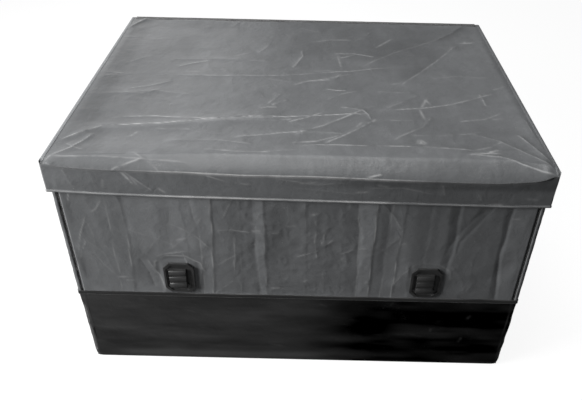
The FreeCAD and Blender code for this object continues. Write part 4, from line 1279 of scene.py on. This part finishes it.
def ring_path(half_x, half_y, radius, count_x=300, count_y=220, turn=9):
    """A closed rounded rectangle, the same number of points whatever its size."""
    path = []
    legs = (
        ((-1, -1), (1, -1), -90, count_x),
        ((1, -1), (1, 1), 0, count_y),
        ((1, 1), (-1, 1), 90, count_x),
        ((-1, 1), (-1, -1), 180, count_y),
    )
    inner = np.array((half_x - radius, half_y - radius))
    for start, end, facing, count in legs:
        out = np.array((math.cos(math.radians(facing)), math.sin(math.radians(facing)))) * radius
        first, last = inner * start + out, inner * end + out
        for share in np.arange(count) / count:
            path.append(first + (last - first) * share)
        for share in np.arange(turn) / turn:
            angle = math.radians(facing + 90 * share)
            path.append(inner * end + radius * np.array((math.cos(angle), math.sin(angle))))
    return np.array(path)


def ring_sheet(insets, heights, radii):
    """A closed sheet round the box: each row has its inset from the walls, height and corner radius."""
    rows = [ring_path(WALL_X - inset, WALL_Y - inset, radius) for inset, radius in zip(insets, radii)]
    rows = np.array(rows)
    zs = np.broadcast_to(np.asarray(heights)[:, None, None], (*rows.shape[:2], 1))
    return Sheet(np.concatenate([rows, zs], axis=-1))


def ring_normals(sheet):
    """Normals of a closed ring, where the first and last columns are neighbours."""
    wrapped = np.concatenate([sheet.points[:, -2:], sheet.points, sheet.points[:, :2]], axis=1)
    return Sheet.normals(sheet, wrapped)[:, 2:-2]


def build_base():
    """The waterproof base in one welded sheet: walls, a soft bottom edge and the floor's turned-in rim."""
    zs = spread(BAND_TOP - 2 * MM, EDGE_RADIUS, 4.5 * MM)
    turn = np.linspace(0, math.pi / 2, 11)[1:]
    under = spread(EDGE_RADIUS, RIM_DEEP, 6 * MM)[1:]
    insets = np.concatenate([0 * zs, EDGE_RADIUS * (1 - np.cos(turn)), under])
    heights = np.concatenate([zs, EDGE_RADIUS * (1 - np.sin(turn)), 0 * under])
    radii = np.interp(heights, (0, 0.1, 0.276), (24 * MM, 14 * MM, 8 * MM))
    radii = np.clip(radii - insets * 0.5, 3 * MM, 1)
    sheet = ring_sheet(insets, heights, radii)
    x, y, z = (sheet.points[..., k] for k in range(3))
    wall = ease((z - 0.02) / 0.05) * ease((BAND_TOP - 0.012 - z) / 0.03)
    rise = 1.6 * MM * swell(sheet.points, (0.3, 0.3, 0.06), 111)
    rise += 0.9 * MM * swell(sheet.points, (0.09, 0.09, 0.03), 113)
    rise += 0.7 * MM * (crumple(sheet.points * (0.4, 0.4, 1.0), 0.03, 115) - 0.4)
    sheet.rise = wall * (rise - 0.6 * MM)
    front = (y < -WALL_Y + 0.02) * 1.0
    each(sheet.crease, BAND_FOLDS, axes=(0, 2), only=front * wall)
    each(sheet.scuff, BAND_SCUFFS, axes=(0, 2), only=front)
    # the upright seam near each corner
    for edge in (low("band_left").x + 15 * MM, high("band_right").x - 15 * MM):
        ends = (np.abs(y) > WALL_Y - 0.01) & (z > 0.012)
        sheet.rise += ends * 1.3 * MM * bell(x - edge, 2.2 * MM)
        sheet.rub(ends * 0.22 * bell(x - edge, 1.6 * MM))
    sheet.points = sheet.points + ring_normals(sheet) * sheet.rise[..., None]
    sheet.rise = sheet.rise * 0
    sheet.rub(0.12 * bell(z - 8 * MM, 6 * MM) * (0.5 + swell(sheet.points, 0.05, 117)))
    # painted reflection: a lighter band low down on the left half, and broad lighter horizontal smears; then
    # finer random tone
    sheet.tone += 0.95 * bell(z - 26 * MM, 12 * MM) * window(x, -0.47, 0.0, 0.12)
    sheet.tone += 0.42 * swell(sheet.points, (0.17, 0.17, 0.035), 119)
    sheet.tone += 0.22 * swell(sheet.points, (0.06, 0.06, 0.012), 120)
    # painted shade: the base grows darker towards its right, and its gloss and sheen fade with it
    sheet.tone += 0.18 - 1.08 * ease((x + 0.08) / 0.32)
    cover = fabric_object("base_cover", [sheet], (TARPAULIN, LINING_BASE), "tub", wrap=True)
    stand_in(cover, "tarpaulin", "floor_tray", "band_front", "band_back", "band_left", "band_right")


def build_floor():
    """The floor of the base, which laps a little over its rim."""
    far_x, far_y = WALL_X - 50 * MM, WALL_Y - 50 * MM
    xs = spread(-far_x, far_x, 14 * MM)
    ys = spread(-far_y, far_y, 14 * MM)
    points = np.stack([*np.meshgrid(xs, ys), np.full((len(ys), len(xs)), 0.3 * MM)], axis=-1)
    sheet = Sheet(points)
    sheet.points[..., 2] += 0.4 * MM * (0.5 + 0.5 * swell(points, 0.12, 121))
    floor = fabric_object("floor_cover", [sheet], (TARPAULIN, LINING_BASE), "tub", thickness=0.5 * MM)
    stand_in(floor, "tarpaulin")


BAND_FOLDS = (
    (((-560, 130), (-300, 150), (-60, 165), (60, 190)), 1.4, 18, 0.05),
    (((-590, 60), (-350, 72), (-100, 66)), 1.2, 16, 0.0),
    (((-300, 215), (-180, 205), (-60, 214)), 1.0, 12, 0.06),
    (((150, 120), (300, 130), (420, 118)), 1.0, 12, 0.06),
    (((120, 60), (320, 52), (560, 62)), 1.0, 14, 0.05),
)
BAND_SCUFFS = (
    (-300, 205, 30, -20, 0.16),
    (-430, 248, 24, -8, 0.16),
    (-60, 70, 40, -10, 0.25),
    (260, 250, 20, 70, 0.14),
    (480, 205, 16, 60, 0.25),
    (380, 150, 14, 80, 0.2),
    (470, 110, 22, 70, 0.2),
    (330, 130, 20, -20, 0.14),
    (-180, 190, 60, 4, 0.1),
    (70, 240, 24, -30, 0.12),
)


# the hem's section, from its top round to its lower edge: inset from the wall and height, in millimetres
HEM_SECTION = (
    (0.0, 277.2), (-0.8, 277.6), (-1.4, 276.8), (-1.6, 274.5), (-1.6, 270), (-1.6, 266), (-1.2, 263.8),
    (0.2, 263.4),
)


def build_band_hem():
    """The folded edge of the base: a slightly wavy lip, paler along its top, that clears the zip pulls."""
    insets, heights = np.array(HEM_SECTION).T * MM
    sheet = ring_sheet(insets, heights, [8 * MM] * len(insets))
    sheet.points[..., 2] += 0.8 * MM * swell(sheet.points * (1, 1, 0), 0.06, 131)
    rows = np.arange(len(insets))[:, None]
    # paler along the top of the lip
    rub = np.clip(0.5 + 0.6 * swell(sheet.points, 0.07, 133), 0, 1)
    sheet.wear_and_highlight = rub * bell(rows - 1.4, 1.2)
    cover = fabric_object("band_hem_cover", [sheet], (TARPAULIN,), "tub", thickness=0.9 * MM, wrap=True)
    stand_in(cover, "tarpaulin", "band_hem")
    path = ring_sheet([-1.65 * MM], [265.3 * MM], [8 * MM]).points[0]
    run = np.roll(path, -1, axis=0) - np.roll(path, 1, axis=0)
    outs = np.cross(run, (0, 0, 1.0))
    outs /= np.linalg.norm(outs, axis=1, keepdims=True)
    stitch_rows("band_hem_stitching", [(path, outs)], "tub", "tarpaulin", THREAD_DARK)


# ---------------------------------------------------------------- zips
COIL_PITCH = 2.4 * MM
TAPE_REACH = 8.5 * MM  # from the middle of the coils to the tape's far edge
FOLDED_REACH = 12 * MM  # the same for the lid's tape, which runs up into its fold
TOOTH = capsule(np.array((0.3, 0.9, 2.2, 2.9)) * MM, np.array((0.45, 0.95, 0.95, 0.5)) * MM, 1.15)


def zip_halves(name, node, runs, body):
    """Coils sewn to their tapes. A run is its two ends, the ways its tape lies and faces, and its reach."""
    teeth, ways, outs, pieces = [], [], [], []
    for start, end, across, out, reach in runs:
        start, end, across, out = (np.array(v, float) for v in (start, end, across, out))
        length = np.linalg.norm(end - start)
        shares = np.arange(COIL_PITCH / 2, length, COIL_PITCH) / length
        teeth.append(start + (end - start) * shares[:, None])
        ways.append(np.broadcast_to(across, teeth[-1].shape))
        outs.append(np.broadcast_to(out, teeth[-1].shape))
        steps = np.linspace(0, 1, max(4, int(length / (8 * MM))))
        middle = across * (0.5 * MM + reach) / 2
        path = start + (end - start) * steps[:, None] + middle - out * 0.9 * MM
        path = path + out * 0.15 * MM * swell(path, 0.03, 141)[:, None]
        pieces.append((path, np.broadcast_to(out, path.shape), reach - 0.5 * MM))
    teeth, ways, outs = (np.concatenate(group) for group in (teeth, ways, outs))
    coil = scatter(f"{name}_coils", TOOTH, teeth, ways, outs, COIL, body)
    stand_in(coil, "zip_tape", node)
    for number, (path, out, width) in enumerate(pieces, start=1):
        tape = tape_path(path, out, width, 0.8 * MM, f"{name}_tape_{number}", TAPE, body)
        stand_in(tape, "zip_tape")


def build_zips():
    """The two side zips, with their lower ends on the sill, and the zip that runs round under the lid."""
    chain_y = (low("wall_zip_halves").y + high("wall_zip_halves").y) / 2
    chain_x = (low("side_slider_right").x + high("side_slider_right").x) / 2
    lid_z = (high("wall_top_zip_halves").z + low("lid_zip_halves").z) / 2
    front = (0, -1, 0)

    def side_runs(node, towards_wall):
        low_z, high_z = low(node).z, high(node).z
        runs = []
        for side in (-1, 1):
            foot, head = (side * chain_x, chain_y, low_z), (side * chain_x, chain_y, high_z)
            runs.append((foot, head, (side * towards_wall, 0, 0), front, TAPE_REACH))
        return runs

    zip_halves("wall_zip", "wall_zip_halves", side_runs("wall_zip_halves", 1), "tub")
    zip_halves("sill_zip", "sill_zip_halves", side_runs("sill_zip_halves", -1), "tub")
    zip_halves("door_zip", "door_zip_halves", side_runs("door_zip_halves", -1), "door")
    ends = (-DOOR_X, chain_y, lid_z), (DOOR_X, chain_y, lid_z)
    zip_halves("door_top_zip", "door_top_zip_half", [(*ends, (0, 0, -1), front, TAPE_REACH)], "door")
    wall_runs, lid_runs = [], [(*ends, (0, 0, 1), front, FOLDED_REACH)]
    near, far = low("wall_top_zip_halves").y, high("wall_top_zip_halves").y
    for side in (-1, 1):
        x = side * (WALL_X - (WALL_Y + chain_y))
        ends = (x, near, lid_z), (x, far, lid_z)
        wall_runs.append((*ends, (0, 0, -1), (side, 0, 0), TAPE_REACH))
        lid_runs.append((*ends, (0, 0, 1), (side, 0, 0), LID_TOP - 2 * MM - lid_z))
    zip_halves("wall_top_zip", "wall_top_zip_halves", wall_runs, "tub")
    zip_halves("lid_zip", "lid_zip_halves", lid_runs, "lid")


# ---------------------------------------------------------------- tapes and binding
def straight_tape(name, start, end, out, width, thickness, look, body, node):
    """A straight sewn tape between two points; look is its material and slot. Gives back its path."""
    start, end = np.array(start), np.array(end)
    steps = np.linspace(0, 1, max(6, int(np.linalg.norm(end - start) / (12 * MM))))
    path = start + (end - start) * steps[:, None]
    outs = np.broadcast_to(np.array(out, float), path.shape)
    material, slot = look
    stand_in(tape_path(path, outs, width, thickness, name, material, body), slot, node)
    return path


def build_tapes():
    """The hook and loop strips of the door, walls and skirt, and the tapes that seal the corner seams."""
    least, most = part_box("door_loop_tape")
    grip_z = (least.z + most.z) / 2
    tall = most.z - least.z
    half, front_y = most.x, most.y
    look = NAP, "hook_and_loop"
    ends = (-half, front_y, grip_z), (half, front_y, grip_z)
    path = straight_tape("door_loop_strip", *ends, (0, -1, 0), tall, 1.3 * MM, look, "door", "door_loop_tape")
    outs = np.broadcast_to((0, -1.0, 0), path.shape)
    rows = [(path + (0, -1.4 * MM, way * (tall / 2 - 2 * MM)), outs) for way in (-1, 1)]
    stitch_rows("door_loop_stitching", rows, "door", "hook_and_loop", THREAD_DARK)
    near, far = low("wall_loop_tapes").y, high("wall_loop_tapes").y
    for label, side in SIDES.items():
        for name, node, x, facing, thickness, body in (
            ("wall_loop_strip", "wall_loop_tapes", WALL_X, side, 1.3 * MM, "tub"),
            ("skirt_hook_strip", "skirt_hook_tapes", LID_X - FABRIC, -side, 1.2 * MM, "lid"),
        ):
            ends = (side * x, near, grip_z), (side * x, far, grip_z)
            straight_tape(f"{name}_{label}", *ends, (facing, 0, 0), tall, thickness, look, body, node)
    inner_y = LID_FRONT + FABRIC
    ends = (-half, inner_y, grip_z), (half, inner_y, grip_z)
    straight_tape("skirt_hook_strip_front", *ends, (0, 1, 0), tall, 1.3 * MM, look, "lid", "skirt_hook_tapes")
    least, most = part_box("seam_tapes")
    width = 12 * MM
    look = BINDING, "webbing"
    for label, side in SIDES.items():
        for wall, end in (("front", -1), ("back", 1)):
            x, y = side * (most.x - width / 2), end * most.y
            ends = (x, y, least.z), (x, y, most.z)
            name = f"seam_tape_{wall}_{label}"
            straight_tape(name, *ends, (0, -end, 0), width, 0.8 * MM, look, "tub", "seam_tapes")


def build_binding():
    """The sewn hinge: a webbing strip from the lid's top, over its back edge and down the back wall."""
    xs = spread(RETURN_X, -RETURN_X, 6 * MM)
    proud = 1.4 * MM
    outer = WALL_Y + proud
    top = LID_TOP + proud
    radius = 3.2 * MM
    ahead = np.stack([np.linspace(outer - 24 * MM, outer - radius, 12), np.full(12, top)], axis=-1)
    turn = np.linspace(0, math.pi / 2, 9)[1:-1]
    bend = np.stack([outer - radius + radius * np.sin(turn), top - radius + radius * np.cos(turn)], axis=-1)
    bottom = low("hinge_binding").z
    down = np.stack([np.full(12, outer), np.linspace(top - radius, bottom, 12)], axis=-1)
    profile = np.concatenate([ahead, bend, down])
    points = np.empty((len(profile), len(xs), 3))
    points[..., 0] = xs
    points[..., 1:] = profile[:, None]
    sheet = Sheet(points)
    sheet.rise += 0.25 * MM * swell(points, 0.025, 151)
    sheet.wear_and_highlight = 0.5 * np.clip(swell(points, 0.02, 153), 0, 1)
    strip = fabric_object("hinge_strip", [sheet], (BINDING,), thickness=0.9 * MM)
    stand_in(strip, "webbing", "hinge_binding")
    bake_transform(strip)
    for body, row, out in (("lid", 3, (0, 0, 1.0)), ("tub", -4, (0, 1.0, 0))):
        path = points[row] + np.array(out) * 0.35 * MM
        outs = np.broadcast_to(out, path.shape)
        stitch_rows(f"hinge_stitching_{body}", [(path, outs)], body, "webbing")


# ---------------------------------------------------------------- hard parts keep their CAD shape
HARD = {
    "front_lash_loops": (RUBBER, 0.9),
    "back_lash_loops": (RUBBER, 0.9),
    "side_lash_loops": (RUBBER, 0.9),
    "loop_backing_patches": (PATCH, 0.5),
    "base_board": (BOARD, 0.4),
    "corner_posts": (TUBE, 0.3),
    "long_rails": (TUBE, 0.3),
    "side_rails": (TUBE, 0.3),
    "top_fittings": (FITTING, 0.6),
    "base_sockets": (FITTING, 0.6),
    "lid_battens": (BATTEN, 0.3),
    "side_slider_left": (METAL, 0.25),
    "side_slider_right": (METAL, 0.25),
    "lid_slider_left": (METAL, 0.25),
    "lid_slider_right": (METAL, 0.25),
    "side_pull_left": (CORD, 0.0),
    "side_pull_right": (CORD, 0.0),
    "lid_pull_left": (CORD, 0.0),
    "lid_pull_right": (CORD, 0.0),
}


def finish_hard_parts():
    """Gives each hard part its material and rounds its sharp edges."""
    for node, (material, rounding) in HARD.items():
        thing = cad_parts[node]
        thing.data.materials.clear()
        thing.data.materials.append(material)
        for face in thing.data.polygons:
            face.material_index = 0
        weld = thing.modifiers.new("weld", "WELD")
        weld.merge_threshold = 0.01 * MM
        if rounding:
            bevel = thing.modifiers.new("bevel", "BEVEL")
            bevel.width = rounding * MM
            bevel.segments = 2
            bevel.limit_method = "ANGLE"
            bevel.angle_limit = math.radians(32)
            bevel.harden_normals = True


# ---------------------------------------------------------------- stage, lights and camera
def build_stage():
    """A floor that is pale to the camera but throws little light back at the base."""
    bpy.ops.mesh.primitive_plane_add(size=40, location=(0, 0, -0.5 * MM))
    floor = bpy.context.object
    floor.name = "floor"
    f = Finish("pale_floor")
    f.set(Base_Color=f.mix(f.noise(0.6, 3), grey(0.84), grey(0.9)), Roughness=0.8, Specular_IOR_Level=0.1)
    f.set(Normal=f.bump(f.noise(400, 2), 0.05 * MM))
    output = next(n for n in f.tree.nodes if n.type == "OUTPUT_MATERIAL")
    glow = f.add("ShaderNodeEmission", {"Color": grey(1.0), "Strength": 1.12})
    seen = f.add("ShaderNodeLightPath").outputs["Is Camera Ray"]
    share = f.times(seen, 0.82)
    shade = f.add("ShaderNodeBsdfDiffuse", {"Color": grey(0.12)})
    lit = f.add("ShaderNodeMixShader", {0: seen, 1: shade.outputs[0], 2: f.shader.outputs[0]})
    both = f.add("ShaderNodeMixShader", {0: share, 1: lit.outputs[0], 2: glow.outputs[0]})
    f.tree.links.new(both.outputs[0], output.inputs["Surface"])
    floor.data.materials.append(f.material)


def build_world(strength):
    """White to the camera, and a faint cool light to everything else."""
    world = bpy.data.worlds.new("studio")
    bpy.context.scene.world = world
    world.use_nodes = True
    tree = world.node_tree
    tree.nodes.clear()
    shown = tree.nodes.new("ShaderNodeBackground")
    shown.inputs["Color"].default_value = grey(1.0)
    shown.inputs["Strength"].default_value = 1.0
    ambient = tree.nodes.new("ShaderNodeBackground")
    ambient.inputs["Color"].default_value = (0.93, 0.96, 1.0, 1.0)
    ambient.inputs["Strength"].default_value = strength
    path = tree.nodes.new("ShaderNodeLightPath")
    mix = tree.nodes.new("ShaderNodeMixShader")
    output = tree.nodes.new("ShaderNodeOutputWorld")
    tree.links.new(path.outputs["Is Camera Ray"], mix.inputs[0])
    tree.links.new(ambient.outputs[0], mix.inputs[1])
    tree.links.new(shown.outputs[0], mix.inputs[2])
    tree.links.new(mix.outputs[0], output.inputs[0])


def soft_light(name, place, aim, size, power):
    lamp = bpy.data.lights.new(name, "AREA")
    lamp.shape = "RECTANGLE"
    lamp.size, lamp.size_y = size
    lamp.energy = power
    thing = bpy.data.objects.new(name, lamp)
    bpy.context.scene.collection.objects.link(thing)
    thing.location = place
    thing.rotation_euler = (Vector(aim) - Vector(place)).to_track_quat("-Z", "Y").to_euler()


def build_lights():
    soft_light("key", (-2.35, -1.35, 1.45), (-0.2, -0.1, 0.45), (1.1, 1.1), 109)
    soft_light("top", (-0.3, -0.3, 3.2), (0.0, -0.1, 0.7), (1.8, 1.4), 66)
    soft_light("back", (-1.2, 2.6, 1.5), (0, 0.2, 0.4), (1.6, 1.0), 10)


CAMERA_PLACE = (0.0176, -1.672, 1.528)
CAMERA_PAN, CAMERA_DOWN, CAMERA_ROLL = 0.09, 35.35, 1.25  # degrees


def build_camera():
    """Standing in front and looking down at the carrier."""
    data = bpy.data.cameras.new("camera")
    data.sensor_width = 36
    data.lens = 38.7
    data.shift_x = -0.026
    data.shift_y = -0.034
    camera = bpy.data.objects.new("camera", data)
    bpy.context.scene.collection.objects.link(camera)
    turn = Matrix.Rotation(math.radians(CAMERA_PAN), 4, "Z")
    tilt = Matrix.Rotation(math.radians(90 - CAMERA_DOWN), 4, "X")
    roll = Matrix.Rotation(math.radians(CAMERA_ROLL), 4, "Z")
    camera.matrix_world = Matrix.Translation(CAMERA_PLACE) @ turn @ tilt @ roll
    bpy.context.scene.camera = camera


build_lid()
build_front()
for side_name, side_way in SIDES.items():
    build_side(side_name, side_way)
build_back()
build_base()
build_floor()
build_band_hem()
build_zips()
build_tapes()
build_binding()
finish_hard_parts()
build_stage()
build_world(0.07)
build_lights()
build_camera()
bpy.context.scene.view_settings.view_transform = "Standard"
